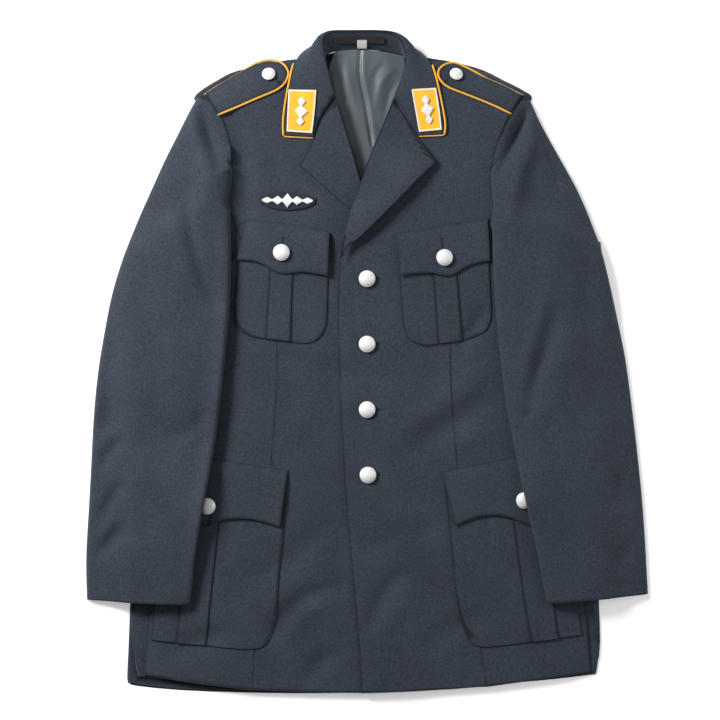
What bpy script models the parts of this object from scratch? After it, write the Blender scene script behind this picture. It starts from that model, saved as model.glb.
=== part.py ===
"""A uniform jacket lying flat on its back, buttoned, with its sleeves beside and over its sides.

Every cut piece is a closed wall of cloth. Tables are in millimetres: x runs across the jacket, +X on
the wearer's left, y runs from the hem up to the collar, and z is up from the surface it lies on.
"""
import math
from bisect import bisect_right
from collections import namedtuple

import bpy
import bmesh
from mathutils import Vector
from mathutils.bvhtree import BVHTree

MM = 0.001           # table units to metres
CLOTH = 1.6          # wall of a panel
TRIM = 1.2           # wall of what is sewn on a panel
COLLAR = 1.8         # wall of the collar
GAP = 0.3            # between two pieces at a seam
LIE = 0.75           # between the two fronts, and under a lapel
SLEEVE_LIE = 1.7     # under a sleeve where it lies on the body
PLEAT = 1.5          # height of a pocket's box pleat
PIPING = 1.1         # radius of the yellow piping
FLOOR_TOP = CLOTH    # top of the back panel

NECK = Vector((-3.0, 335.0))  # middle of the neck, which the collar goes around

# Half sections of the body: sides of the lying shape, how high it lofts, how wide its edges round off
Section = namedtuple("Section", "y right left loft fall")
BODY = [
    Section(-394, -268, 268, 5.0, 45),
    Section(-290, -258, 256, 5.4, 60),
    Section(-190, -253, 252, 5.8, 70),
    Section(-80, -248, 250, 6.3, 70),
    Section(15, -251, 252, 6.6, 70),
    Section(128, -262, 262, 7.2, 65),
    Section(175, -272, 266, 8.0, 60),
    Section(212, -256, 250, 9.0, 52),
    Section(248, -240, 230, 10.4, 46),
    Section(283, -222, 209, 12.0, 40),
    Section(305, -211, 198, 13.0, 36),
    Section(323, -198, 189, 13.0, 34),
]

# Line of the shoulders, seen from above
Shoulder = namedtuple("Shoulder", "x y")
SHOULDERS = [
    Shoulder(-230, 296), Shoulder(-196, 322), Shoulder(-160, 342), Shoulder(-131, 356),
    Shoulder(-95, 361), Shoulder(-50, 368), Shoulder(0, 371), Shoulder(50, 368),
    Shoulder(88, 361), Shoulder(100, 357), Shoulder(145, 339), Shoulder(186, 320), Shoulder(215, 300),
]
SHOULDER_FALL = 36   # how far below that line the shoulder reaches its full height
SHOULDER_LEAN = 0.9  # cosine of the line's slope

# Side seams and hidden armholes: where the body ends under each sleeve
Edge = namedtuple("Edge", "y right left")
BODY_EDGE = [
    Edge(-375, -266, 266), Edge(-240, -256, 255), Edge(-90, -248, 250), Edge(45, -253, 254),
    Edge(118, -258, 259), Edge(134, -259, 260), Edge(150, -232, 226), Edge(165, -207, 196),
    Edge(180, -183, 164), Edge(190, -166, 151), Edge(212, -162, 148), Edge(236, -161, 149),
]
SLEEVE_CLEAR = 22    # how far outside the body a sleeve starts to come down to the floor
SLEEVE_SLOPE = 30    # and in what width it does

# Fronts: inner edge (front edge, then roll line, then neck), outer edge (long seam, then armhole),
# and how far the rung bows up in its middle
Rung = namedtuple("Rung", "inner_x inner_y outer_x outer_y bow")
FRONT_LEFT = [
    Rung(-6, -394, 142, -387, -1), Rung(-11, -315, 134, -325, 0), Rung(-18, -241, 122, -245, 0),
    Rung(-24, -167, 112, -165, 0), Rung(-29, -94, 105, -90, 0), Rung(-32, -20, 100, -15, 0),
    Rung(-34, 50, 103, 45, 0), Rung(-32, 119, 124, 98, 0), Rung(-26, 150, 142, 148, 0),
    Rung(-17, 185, 152, 186, 0), Rung(-7, 212, 148, 209, 0), Rung(3, 243, 149, 232, 0),
    Rung(18, 278, 154, 257, 0), Rung(33, 314, 166, 287, 2), Rung(48, 342, 177, 305, 4),
    Rung(60, 362, 185, 318, 7),
]
FRONT_RIGHT = [
    Rung(10, -394, -138, -391, -1), Rung(14, -315, -133, -325, 0), Rung(19, -241, -126, -245, 0),
    Rung(24, -167, -118, -165, 0), Rung(28, -94, -112, -90, 0), Rung(30, -20, -108, -15, 0),
    Rung(30, 50, -111, 45, 0), Rung(20, 119, -130, 98, 0), Rung(10, 155, -152, 148, 0),
    Rung(1, 187, -166, 190, 0), Rung(-7, 212, -162, 212, 0), Rung(-15, 243, -161, 236, 0),
    Rung(-26, 278, -163, 258, 0), Rung(-38, 314, -171, 286, 4), Rung(-52, 342, -181, 302, 9),
    Rung(-64, 362, -192, 318, 13),
]
SEAM_RUNGS = 10      # rungs of a front that end on the long seam, from the hem up

# Side bodies: the side edge that faces each rung of the long seam
Side = namedtuple("Side", "x y")
SIDE_LEFT = [
    Side(266, -371), Side(262, -312), Side(255, -240), Side(252, -165), Side(250, -90),
    Side(251, -15), Side(254, 45), Side(257, 92), Side(259, 118), Side(259, 133),
]
SIDE_RIGHT = [
    Side(-266, -374), Side(-261, -312), Side(-256, -240), Side(-252, -165), Side(-248, -90),
    Side(-250, -15), Side(-253, 45), Side(-256, 92), Side(-258, 118), Side(-258, 133),
]

# Back: its two edges from the hem to the neck
Pair = namedtuple("Pair", "right_x right_y left_x left_y bow")
BACK = [
    Pair(-266, -375, 266, -371, -14), Pair(-258, -289, 256, -289, 0), Pair(-253, -190, 252, -190, 0),
    Pair(-248, -82, 250, -82, 0), Pair(-251, 14, 252, 14, 0), Pair(-258, 133, 259, 133, 0),
    Pair(-165, 190, 151, 186, 0), Pair(-161, 212, 147, 209, 0), Pair(-160, 236, 148, 232, 0),
    Pair(-162, 258, 153, 257, 0), Pair(-170, 286, 165, 287, 0), Pair(-180, 302, 176, 305, 0),
    Pair(-191, 318, 184, 318, 2), Pair(-158, 340, 143, 338, 2), Pair(-131, 353, 100, 354, 2),
    Pair(-60, 364, 58, 362, 4), Pair(-38, 371, 46, 366, 2),
]

# Sleeves: outer edge, inner edge (armhole, then the edge that lies on the body), height of the tube,
# and how much of the inner edge is sewn (1) or rolls under as a tube (0)
Tube = namedtuple("Tube", "outer_x outer_y inner_x inner_y rise sewn")
SLEEVE_RIGHT = [
    Tube(-199, 321, -193.4, 318, 8, 1), Tube(-206, 312, -182.5, 302, 12, 1),
    Tube(-215, 296, -173, 286, 14, 1), Tube(-228, 270, -166, 268, 14, 1),
    Tube(-243, 240, -162, 252, 14, 0.6), Tube(-258, 207, -161.6, 232, 14, 0),
    Tube(-274, 171, -163, 192, 15, 0), Tube(-290, 130, -162, 150, 15.5, 0),
    Tube(-305, 84, -161.5, 110, 15.5, 0), Tube(-315, 35, -164, 55, 15, 0),
    Tube(-323, -15, -169, 0, 15, 0), Tube(-328, -68, -175, -55, 14.5, 0),
    Tube(-331, -125, -183, -115, 14, 0), Tube(-334, -180, -194, -175, 13.5, 0),
    Tube(-337, -235, -204, -235, 13, 0), Tube(-336, -284, -210, -288, 12, 0),
]
SLEEVE_LEFT = [
    Tube(192, 320, 186.4, 318, 8, 1), Tube(198, 308, 177.5, 304, 12, 1),
    Tube(207, 288, 167.5, 287, 14, 1), Tube(221, 262, 158.5, 267, 14, 1),
    Tube(236, 235, 153, 250, 14, 0.6), Tube(252, 206, 149.6, 228, 14, 0),
    Tube(267, 172, 149, 196, 15, 0), Tube(279, 138, 149.5, 158, 15.5, 0),
    Tube(291, 92, 150, 115, 15.5, 0), Tube(301, 48, 153.5, 62, 15, 0),
    Tube(310, 3, 159, 5, 15, 0), Tube(317, -48, 166, -50, 14.5, 0),
    Tube(324, -106, 177, -110, 14, 0), Tube(330, -165, 188, -165, 13.5, 0),
    Tube(334, -220, 201, -220, 13, 0), Tube(337, -277, 214, -286, 12, 0),
]
SLEEVE_ROUND = 0.75  # below 1 the tube's top is flatter and its edges rounder
FIRST_UNDER = 3      # rung of the sleeve where the under sleeve begins
UNDER_INSET = 3.6    # from a tube's edge to the under sleeve

# What a sleeve lies on besides the front: the lower pocket with its flap, and its button
POCKET_LOAD = 5.4
POCKET_LOAD_SPAN = (-352, -330, -118, -96)
BUTTON_LOAD = 7.0
BUTTON_SPREAD = 24.0

# Folds: a soft trough from start to end, its half width and its depth
Fold = namedtuple("Fold", "x0 y0 x1 y1 width depth")
SLEEVE_FOLDS = [
    Fold(-192, 271, -169, 232, 11, 3.2), Fold(-216, 141, -203, 74, 16, 2.6),
    Fold(-329, -157, -289, -117, 12, 2.6), Fold(-328, -223, -296, -202, 12, 2.2),
    Fold(192, 299, 162, 240, 11, 3.6), Fold(205, 298, 222, 220, 13, 3.0),
    Fold(205, 73, 194, -40, 16, 2.6), Fold(216, -111, 240, -88, 14, 2.2),
]
BODY_FOLDS = [
    Fold(5, -315, 46, -266, 16, 1.6), Fold(-70, -313, -36, -266, 16, 1.6),
    Fold(-92, -381, -47, -358, 14, 1.2), Fold(60, -60, 84, 0, 18, 1.2),
]

# Lapels: roll line and outer edge, from the gorge down to the break
Lapel = namedtuple("Lapel", "roll_x roll_y outer_x outer_y")
LAPEL_RIGHT = [
    Lapel(-37, 313, -38.5, 310), Lapel(-32.5, 297, -53.5, 288.5), Lapel(-28, 282, -62.5, 266.5),
    Lapel(-23, 266, -71, 249), Lapel(-17, 246, -79, 233), Lapel(-11, 225, -58, 215),
    Lapel(-5, 206, -38, 197), Lapel(1, 187, -19, 180), Lapel(8, 162, -2, 161),
    Lapel(16, 135, 12, 136), Lapel(19.5, 121, 18, 122),
]
LAPEL_LEFT = [
    Lapel(31, 313, 32.5, 309.5), Lapel(27.5, 300, 46, 289), Lapel(22.5, 289, 59.5, 268),
    Lapel(17, 276, 71, 252), Lapel(10.5, 261, 81, 238), Lapel(4, 245, 60, 217),
    Lapel(-3, 225, 40, 196), Lapel(-11, 204, 22, 178), Lapel(-19, 183, 4, 160),
    Lapel(-25, 161, -10, 147), Lapel(-29, 140, -23, 136), Lapel(-31, 123, -29.5, 124),
]
LAPEL_CORNERS = (2, 4)
ROLL_RISE = 1.8      # how high a lapel stands at its roll line

# Collar: its inner edge (gorge, then fold) and outer edge, from the wearer's right round the back, with
# the height of each and how far the fall swells outward between them
Station = namedtuple("Station", "fold_x fold_y fold_z edge_x edge_y edge_z swell")
COLLAR_ROUND = [
    Station(-64, 267.5, 17.6, -98, 269.5, 17.0, 0), Station(-56.3, 291, 18.6, -98.3, 286, 17.3, 0),
    Station(-39.5, 316.5, 20.6, -96, 307, 17.6, 0), Station(-44, 337, 22, -91, 334, 16.5, 0),
    Station(-49, 357, 23, -86.5, 355, 11, 1), Station(-52, 374, 23, -78, 370, 5.2, 3),
    Station(-51, 385, 23, -63, 379.5, 3.4, 5), Station(-42, 391, 23, -43, 385, 2.6, 5),
    Station(-25, 392, 22.5, -25, 386.5, 2.4, 4), Station(-8, 392, 22, -8, 386.5, 2.4, 4),
    Station(11, 392, 22.5, 11, 386, 2.4, 4), Station(29, 389.5, 23, 31, 384, 2.6, 5),
    Station(40, 382, 23, 52, 378, 3.4, 5), Station(45, 371, 23, 67, 368.5, 5.2, 3),
    Station(46, 357, 23, 76.5, 353, 11, 1), Station(41, 337, 22, 82, 333, 16.5, 0),
    Station(33.5, 316.5, 20.6, 88, 305, 17.6, 0), Station(48.8, 291, 18.6, 91.5, 284, 17.3, 0),
    Station(61, 269.5, 17.6, 90.5, 271, 17.0, 0),
]
COLLAR_CORNERS = (2, 16)
FALL_COLUMNS = (0.0, 0.1, 0.28, 0.5, 0.74, 1.0)
STAND_FIRST, STAND_LAST = 3, 15
# Foot of the stand, facing the same stations
Foot = namedtuple("Foot", "x y z")
STAND_FOOT = [
    Foot(-45, 333, 17.6), Foot(-51.5, 352, 15.0), Foot(-51, 364, 8.0), Foot(-46, 369.5, 4.4),
    Foot(-38, 372.5, 3.0), Foot(-24, 374, 3.0), Foot(-8, 374.5, 3.0), Foot(11, 374, 3.0),
    Foot(28, 371.5, 3.0), Foot(41, 368.5, 4.4), Foot(47.5, 363, 8.0), Foot(48.5, 350, 15.0),
    Foot(42.5, 333, 17.6),
]
STAND_DROP = 2.6     # top of the stand below the fold

# Back lining in the neck: two edges from the neck down to just past the crossing of the fronts
LINING = [
    Pair(-37, 369, 44, 363, 3), Pair(-45, 352, 45, 350, 0), Pair(-47, 330, 43, 330, 0),
    Pair(-48, 300, 42, 300, 0), Pair(-44, 262, 38, 262, 0), Pair(-38, 225, 32, 225, 0),
    Pair(-32, 190, 28, 190, 0),
]
LINING_FOLDS = [
    Fold(-7, 371, -8, 338, 5, -1.6), Fold(-8, 338, 7, 254, 6, -1.8),
    Fold(22, 357, 10, 346, 6, -1.4), Fold(18, 320, 8, 262, 6, -1.2), Fold(-30, 340, -20, 280, 7, -1.2),
]
LINING_WALL = 1.0
# On the stand at the back of the neck: the hanger strip and a bare label
HANGER_STRIP = [Pair(-38, 385, -38, 379, 0), Pair(-8, 386, -8, 379.5, 0), Pair(20, 385.5, 20, 379, 0)]
NECK_LABEL = [Pair(-11.5, 382.5, -0.5, 382.5, 0), Pair(-11.5, 379.3, -0.5, 379.3, 0),
              Pair(-11.5, 374.5, -0.5, 374.5, 0)]
LABEL_WALL = 0.6

# Shoulder straps: two long edges from the armhole to the round end
Strap = namedtuple("Strap", "high_x high_y low_x low_y")
STRAP_RIGHT = [
    Strap(-192.5, 321, -176.5, 296), Strap(-176, 331.5, -158, 303.5), Strap(-160, 341, -142, 310.5),
    Strap(-144, 350, -127, 317), Strap(-130, 356, -113.5, 322.5), Strap(-117, 359, -104, 328),
    Strap(-106, 357, -99, 333.5), Strap(-99.5, 352, -96, 340.5), Strap(-97.2, 348.5, -95.6, 345),
]
STRAP_LEFT = [
    Strap(184, 319, 170.5, 297.5), Strap(168, 328, 153, 306), Strap(150, 336, 136, 313),
    Strap(133, 343, 121, 319), Strap(118, 350, 108, 324), Strap(106, 355.5, 98.5, 328),
    Strap(96.5, 354.5, 91, 333.5), Strap(89.5, 350, 87.3, 339.5), Strap(87.2, 346.5, 86.6, 343),
]

# Patch pockets: two edges from the top down, and the two lines of the box pleat between them
Pocket = namedtuple("Pocket", "a_x a_y pleat_a pleat_b b_x b_y")
CHEST_POCKET_RIGHT = [
    Pocket(-147, 156, -113, -86, -47, 142), Pocket(-152, 124, -115, -88, -47, 110),
    Pocket(-155, 90, -117, -90, -48, 75), Pocket(-157.5, 62, -119, -91, -49, 50),
    Pocket(-157, 48, -119.5, -91.5, -53, 38), Pocket(-150, 37, -120, -92, -60, 27),
    Pocket(-137, 29.5, -120.5, -92.5, -74, 22),
]
CHEST_POCKET_LEFT = [
    Pocket(37, 140, 76, 103, 143, 158), Pocket(39, 110, 78, 106, 145, 125),
    Pocket(41, 78, 81, 108, 146, 92), Pocket(43, 50, 83, 111, 148, 60),
    Pocket(47, 34, 84, 112, 145, 44), Pocket(54, 24, 85, 113, 137, 34),
    Pocket(68, 19, 86, 113.5, 121, 27),
]
LOWER_POCKET_RIGHT = [
    Pocket(-246, -128, -206, -171, -97, -143), Pocket(-249, -185, -211, -177, -101, -199),
    Pocket(-252, -245, -217, -183, -106, -243), Pocket(-254, -290, -222, -188, -109, -290),
    Pocket(-256, -312, -225, -190, -114, -315), Pocket(-257, -325, -227, -192, -122, -334),
    Pocket(-258, -333, -228, -193, -137, -344),
]
LOWER_POCKET_LEFT = [
    Pocket(93, -146, 167, 202, 246, -122), Pocket(99, -195, 175, 209, 248, -180),
    Pocket(103, -235, 181, 216, 250, -235), Pocket(108, -282, 188, 222, 252, -285),
    Pocket(114, -310, 192, 225, 254, -307), Pocket(123, -330, 195, 227, 256, -320),
    Pocket(138, -341, 197, 229, 257, -327),
]

# Pocket flaps: the sewn top edge and the shaped lower edge
Flap = namedtuple("Flap", "top_x top_y low_x low_y")
CHEST_FLAP_RIGHT = [
    Flap(-145, 169, -155, 122), Flap(-131, 168, -138, 121), Flap(-119, 167, -125, 117),
    Flap(-109, 166, -115, 111), Flap(-99, 165, -104, 106), Flap(-88, 163, -93, 106),
    Flap(-75, 161, -80, 108), Flap(-60, 158, -64, 106), Flap(-45, 154, -47, 103),
]
CHEST_FLAP_LEFT = [
    Flap(35, 152, 39, 103), Flap(49, 154, 53, 105), Flap(63, 157, 67, 106), Flap(77, 159, 80, 106),
    Flap(91, 162, 94, 103), Flap(104, 164, 105, 106), Flap(117, 166, 118, 114),
    Flap(131, 168.5, 133, 119), Flap(144, 171, 146.5, 121),
]
LOWER_FLAP_RIGHT = [
    Flap(-95, -130, -104, -196), Flap(-112, -127.5, -120, -191), Flap(-130, -125, -137, -187),
    Flap(-148, -122, -153, -186), Flap(-165, -120, -168, -187), Flap(-180, -117.5, -181, -191),
    Flap(-190, -116, -190, -195), Flap(-200, -114, -200, -191), Flap(-215, -112, -214, -185),
    Flap(-232, -110, -231, -181), Flap(-246, -107, -246, -179),
]
LOWER_FLAP_LEFT = [
    Flap(90, -132, 105, -195), Flap(106, -129, 117, -189), Flap(122, -125.5, 132, -184),
    Flap(140, -122, 150, -182), Flap(157, -118, 166, -184), Flap(172, -115, 181, -189),
    Flap(184, -113, 193, -194), Flap(196, -110, 204, -191), Flap(212, -107, 217, -184),
    Flap(230, -104, 232, -179), Flap(245, -101, 246, -176),
]
FLAP_STAND = 3.4     # how far the flap's free edge stands above the front

# Collar tabs, breast badge and their raised motif, a string of lozenges
TAB_RIGHT = [Pair(-93, 323, -60.5, 322, 0), Pair(-94.5, 297, -62.5, 296, 0), Pair(-95.5, 274, -65.5, 272, 0)]
TAB_LEFT = [Pair(53, 323, 82, 325, 0), Pair(57.5, 298, 86, 300, 0), Pair(62, 273.5, 88.8, 276, 0)]
BADGE = [
    Pair(-128, 195, -128, 189.5, 0), Pair(-116, 200, -116, 184, 0), Pair(-95, 202.5, -95, 181, 0),
    Pair(-74, 200, -74, 184, 0), Pair(-62, 195, -62, 189.5, 0),
]
Lozenge = namedtuple("Lozenge", "along half_width")
TAB_MOTIF = [
    Lozenge(0.0, 0.8), Lozenge(0.14, 4.5), Lozenge(0.29, 1.0), Lozenge(0.5, 7.5), Lozenge(0.71, 1.0),
    Lozenge(0.86, 4.5), Lozenge(1.0, 0.8),
]
BADGE_MOTIF = [
    Lozenge(0.0, 0.8), Lozenge(0.1, 3.6), Lozenge(0.2, 1.0), Lozenge(0.31, 5.0), Lozenge(0.4, 1.1),
    Lozenge(0.5, 8.0), Lozenge(0.6, 1.1), Lozenge(0.69, 5.0), Lozenge(0.8, 1.0), Lozenge(0.9, 3.6),
    Lozenge(1.0, 0.8),
]
MOTIF_WALL = 1.0

# Buttons: a domed head on a shank, its profile as radius and height
Turn = namedtuple("Turn", "radius height")
BUTTON = [
    Turn(2.6, 0.0), Turn(2.6, 1.5), Turn(9.4, 1.9), Turn(10.2, 2.7), Turn(9.3, 4.2), Turn(6.0, 5.7),
]
BUTTON_TOP = 6.4
BUTTON_SIDES = 12
Button = namedtuple("Button", "name x y on scale")
BUTTONS = [
    Button("button_front_1", 0, 99, "front_left", 1.0), Button("button_front_2", 0, 21, "front_left", 1.0),
    Button("button_front_3", 0, -57, "front_left", 1.0),
    Button("button_front_4", 1, -135, "front_left", 1.0),
    Button("button_chest_right", -102, 130, "chest_flap_right", 1.0),
    Button("button_chest_left", 92, 124, "chest_flap_left", 1.0),
    Button("button_lower_right", -190, -172, "lower_flap_right", 1.0),
    Button("button_lower_left", 187, -165, "lower_flap_left", 1.0),
    Button("button_strap_right", -117, 342, "strap_right", 0.8),
    Button("button_strap_left", 106, 342, "strap_left", 0.8),
]

# Colours as linear values, then roughness and metallic
Finish = namedtuple("Finish", "colour roughness metallic")
WOOL = Finish((0.030, 0.040, 0.056), 0.9, 0.0)
LINING_SATIN = Finish((0.13, 0.17, 0.20), 0.5, 0.0)
TAB_YELLOW = Finish((0.97, 0.50, 0.03), 0.8, 0.0)
PIPE_YELLOW = Finish((0.87, 0.44, 0.04), 0.8, 0.0)
SILVER = Finish((0.78, 0.78, 0.76), 0.35, 1.0)
WHITE_THREAD = Finish((0.85, 0.85, 0.84), 0.7, 0.0)
BADGE_CLOTH = Finish((0.020, 0.026, 0.036), 0.9, 0.0)
HANGER_CLOTH = Finish((0.042, 0.036, 0.033), 0.8, 0.0)
LABEL_CLOTH = Finish((0.88, 0.88, 0.86), 0.8, 0.0)

surfaces = {}        # each built piece, as a tree that a line from above can meet


def fade(value, start, end):
    """Rise smoothly from 0 at start to 1 at end"""
    t = min(max((value - start) / (end - start), 0.0), 1.0)
    return t * t * (3 - 2 * t)


def between(keys, values, at):
    """A smooth curve through values at rising keys, level past its ends"""
    at = min(max(at, keys[0]), keys[-1])
    i = min(bisect_right(keys, at) - 1, len(keys) - 2)
    last = len(keys) - 1

    def slope(k):
        a, b = max(k - 1, 0), min(k + 1, last)
        return (values[b] - values[a]) / (keys[b] - keys[a])

    span = keys[i + 1] - keys[i]
    t = (at - keys[i]) / span
    rise = values[i + 1] - values[i]
    start, end = slope(i) * span, slope(i + 1) * span
    return values[i] + t * (start + t * (3 * rise - 2 * start - end + t * (start + end - 2 * rise)))


def column(table, name, key, at):
    """Read a named column of a table at a place along its key column"""
    keys = [getattr(row, key) for row in table]
    return between(keys, [getattr(row, name) for row in table], at)


def smooth_rows(rows, steps, corners=()):
    """Rows of a table and smooth rows between them; the curve may turn sharply at a corner row"""
    result = []
    for i in range(len(rows) - 1):
        here, there = rows[i], rows[i + 1]
        ends_before = i == 0 or i in corners
        ends_after = i == len(rows) - 2 or i + 1 in corners
        before = [2 * a - b for a, b in zip(here, there)] if ends_before else rows[i - 1]
        after = [2 * b - a for a, b in zip(here, there)] if ends_after else rows[i + 2]
        for step in range(steps):
            t = step / steps
            values = []
            for p, a, b, q in zip(before, here, there, after):
                values.append(0.5 * (2 * a + (b - p) * t + (2 * p - 5 * a + 4 * b - q) * t * t
                                     + (3 * a - p - 3 * b + q) * t ** 3))
            result.append(type(here)(*values))
    result.append(rows[-1])
    return result


def trough(folds, x, y):
    """Depth of the folds at a place"""
    depth = 0.0
    place = Vector((x, y))
    for fold in folds:
        start, end = Vector((fold.x0, fold.y0)), Vector((fold.x1, fold.y1))
        along = end - start
        t = min(max((place - start).dot(along) / along.length_squared, 0.0), 1.0)
        away = (place - start - along * t).length / fold.width
        depth += fold.depth * math.exp(-away * away) * (1 - 0.5 * abs(2 * t - 1))
    return depth


def body_top(x, y):
    """Top of a front panel where nothing else lies below it but the back"""
    right = column(BODY, "right", "y", y)
    left = column(BODY, "left", "y", y)
    aside = min(x - right, left - x) / column(BODY, "fall", "y", y)
    below = (column(SHOULDERS, "y", "x", x) - y) * SHOULDER_LEAN / SHOULDER_FALL
    aside = min(max(aside, 0.0), 1.0)
    below = min(max(below, 0.0), 1.0)
    rounding = (1 - (1 - aside) ** 2) * (1 - (1 - below) ** 2)
    return FLOOR_TOP + GAP + CLOTH + column(BODY, "loft", "y", y) * rounding


def lap(x, y):
    """How far the left front is lifted by the right front and the right lapel below it"""
    across = 1 - fade(x, 40, 95)
    return (CLOTH + LIE) * across * (1 - fade(y, 214, 262)) * (1 + fade(y, 84, 116))


def front_top(x, y, lapped):
    """Top of a front panel"""
    height = body_top(x, y) - trough(BODY_FOLDS, x, y)
    return height + (lap(x, y) if lapped else 0.0)


def sleeve_floor(x, y):
    """Where the underside of a sleeve lies: on the floor, or on the body and its lower pocket"""
    side = "left" if x > 0 else "right"
    edge = column(BODY_EDGE, side, "y", y)
    outside = (x - edge) if x > 0 else (edge - x)
    start, full, ebb, end = POCKET_LOAD_SPAN
    load = POCKET_LOAD * fade(y, start, full) * (1 - fade(y, ebb, end))
    button = next(b for b in BUTTONS if b.name == "button_lower_" + side)
    away = math.hypot(x - button.x, y - button.y) / BUTTON_SPREAD
    load += BUTTON_LOAD * math.exp(-away * away)
    return (body_top(x, y) + SLEEVE_LIE + load) * (
        1 - fade(outside, SLEEVE_CLEAR, SLEEVE_CLEAR + SLEEVE_SLOPE))


def lie_on(names, x, y, reach):
    """Highest point of the named pieces at a place and around it, or None off all of them"""
    best = None
    for dx, dy in ((0, 0), (1, 0), (-1, 0), (0, 1), (0, -1), (0.7, 0.7), (0.7, -0.7), (-0.7, 0.7),
                   (-0.7, -0.7)):
        for name in names:
            hit = surfaces[name].ray_cast(Vector((x + dx * reach, y + dy * reach, 500)), Vector((0, 0, -1)))
            if hit[0] is not None and (best is None or hit[0].z > best):
                best = hit[0].z
    return best


def material(name, finish):
    """A material of one colour"""
    made = bpy.data.materials.new(name)
    made.use_nodes = True
    shader = made.node_tree.nodes["Principled BSDF"]
    shader.inputs["Base Color"].default_value = (*finish.colour, 1)
    shader.inputs["Roughness"].default_value = finish.roughness
    shader.inputs["Metallic"].default_value = finish.metallic
    return made


def make(name, points, faces, finish):
    """An object from points in millimetres and triangles, with its faces turned outward"""
    mesh = bpy.data.meshes.new(name)
    mesh.from_pydata([Vector(p) * MM for p in points], [], faces)
    work = bmesh.new()
    work.from_mesh(mesh)
    bmesh.ops.recalc_face_normals(work, faces=work.faces)
    work.to_mesh(mesh)
    work.free()
    mesh.shade_smooth()
    mesh.set_sharp_from_angle(angle=math.radians(50))
    mesh.materials.append(material(name, finish))
    piece = bpy.data.objects.new(name, mesh)
    bpy.context.collection.objects.link(piece)
    surfaces[name] = BVHTree.FromPolygons([Vector(p) for p in points], faces)
    return piece


def wall(name, outer, inner, finish):
    """A closed wall between two grids of points of the same size"""
    rows, columns = len(outer), len(outer[0])
    points = [p for row in outer for p in row] + [p for row in inner for p in row]
    far = rows * columns
    faces = []
    for i in range(rows - 1):
        for j in range(columns - 1):
            a, b = i * columns + j, i * columns + j + 1
            c, d = b + columns, a + columns
            faces += [(a, b, c), (a, c, d), (far + a, far + c, far + b), (far + a, far + d, far + c)]
    rim = [j for j in range(columns)]
    rim += [i * columns + columns - 1 for i in range(1, rows)]
    rim += [(rows - 1) * columns + j for j in range(columns - 2, -1, -1)]
    rim += [i * columns for i in range(rows - 2, 0, -1)]
    for a, b in zip(rim, rim[1:] + rim[:1]):
        faces += [(a, far + b, b), (a, far + a, far + b)]
    return make(name, points, faces, finish)


def rungs(rows, columns):
    """Grid of places between the two edges of a ladder of rows (x, y, x, y, and maybe a bow)"""
    grid = []
    for row in rows:
        bow = row[4] if len(row) > 4 else 0.0
        line = []
        for j in range(columns + 1):
            v = j / columns
            x = row[0] + (row[2] - row[0]) * v
            y = row[1] + (row[3] - row[1]) * v + bow * 4 * v * (1 - v)
            line.append(Vector((x, y)))
        grid.append(line)
    return grid


def raised(grid, height):
    """Lift a grid of places to a height that a function gives from row, column and place"""
    return [[(p.x, p.y, height(i, j, p)) for j, p in enumerate(row)] for i, row in enumerate(grid)]


def sheet(name, grid, under, thickness, finish):
    """A wall whose underside follows a height function, with an even upright thickness"""
    low = raised(grid, under)
    high = [[(x, y, z + thickness) for x, y, z in row] for row in low]
    return wall(name, high, low, finish)


def patch(name, grid, on, thickness, finish, reach, least=0.0):
    """A sheet that lies on pieces that are already built"""
    def under(i, j, p):
        height = lie_on(on, p.x, p.y, reach)
        return (least if height is None else height) + GAP

    return sheet(name, grid, under, thickness, finish)


def narrow(grid, amount):
    """Draw the last place of each row back, to leave the gap of a seam"""
    for row in grid:
        along = row[-1] - row[-2]
        row[-1] = row[-1] - along.normalized() * amount
    return grid


def build_body():
    """Back, lining, the two fronts and the two side bodies"""
    back = rungs(smooth_rows(BACK, 1), 4)
    sheet("back", back, lambda i, j, p: 0.0, CLOTH, WOOL)

    def lining_under(i, j, p):
        return FLOOR_TOP + GAP + trough(LINING_FOLDS, p.x, p.y) * -1.0

    sheet("lining_back", rungs(smooth_rows(LINING, 2), 8), lining_under, LINING_WALL, LINING_SATIN)
    for side, front, edge, lapped in (("right", FRONT_RIGHT, SIDE_RIGHT, False),
                                      ("left", FRONT_LEFT, SIDE_LEFT, True)):
        def under(i, j, p):
            return front_top(p.x, p.y, lapped) - CLOTH

        rows = smooth_rows(front, 2)
        sheet("front_" + side, narrow(rungs(rows, 8), GAP), under, CLOTH, WOOL)
        seam = rows[:2 * (SEAM_RUNGS - 1) + 1]
        sides = smooth_rows(edge, 2)
        strip = [Rung(a.outer_x, a.outer_y, b.x, b.y, 0) for a, b in zip(seam, sides)]
        sheet("side_" + side, rungs(strip, 4), under, CLOTH, WOOL)


def tube_end(row):
    """Angle at which a sleeve's arch ends: half a turn when it rolls under, a quarter when sewn"""
    return math.pi * (1 - row.sewn / 2)


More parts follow.
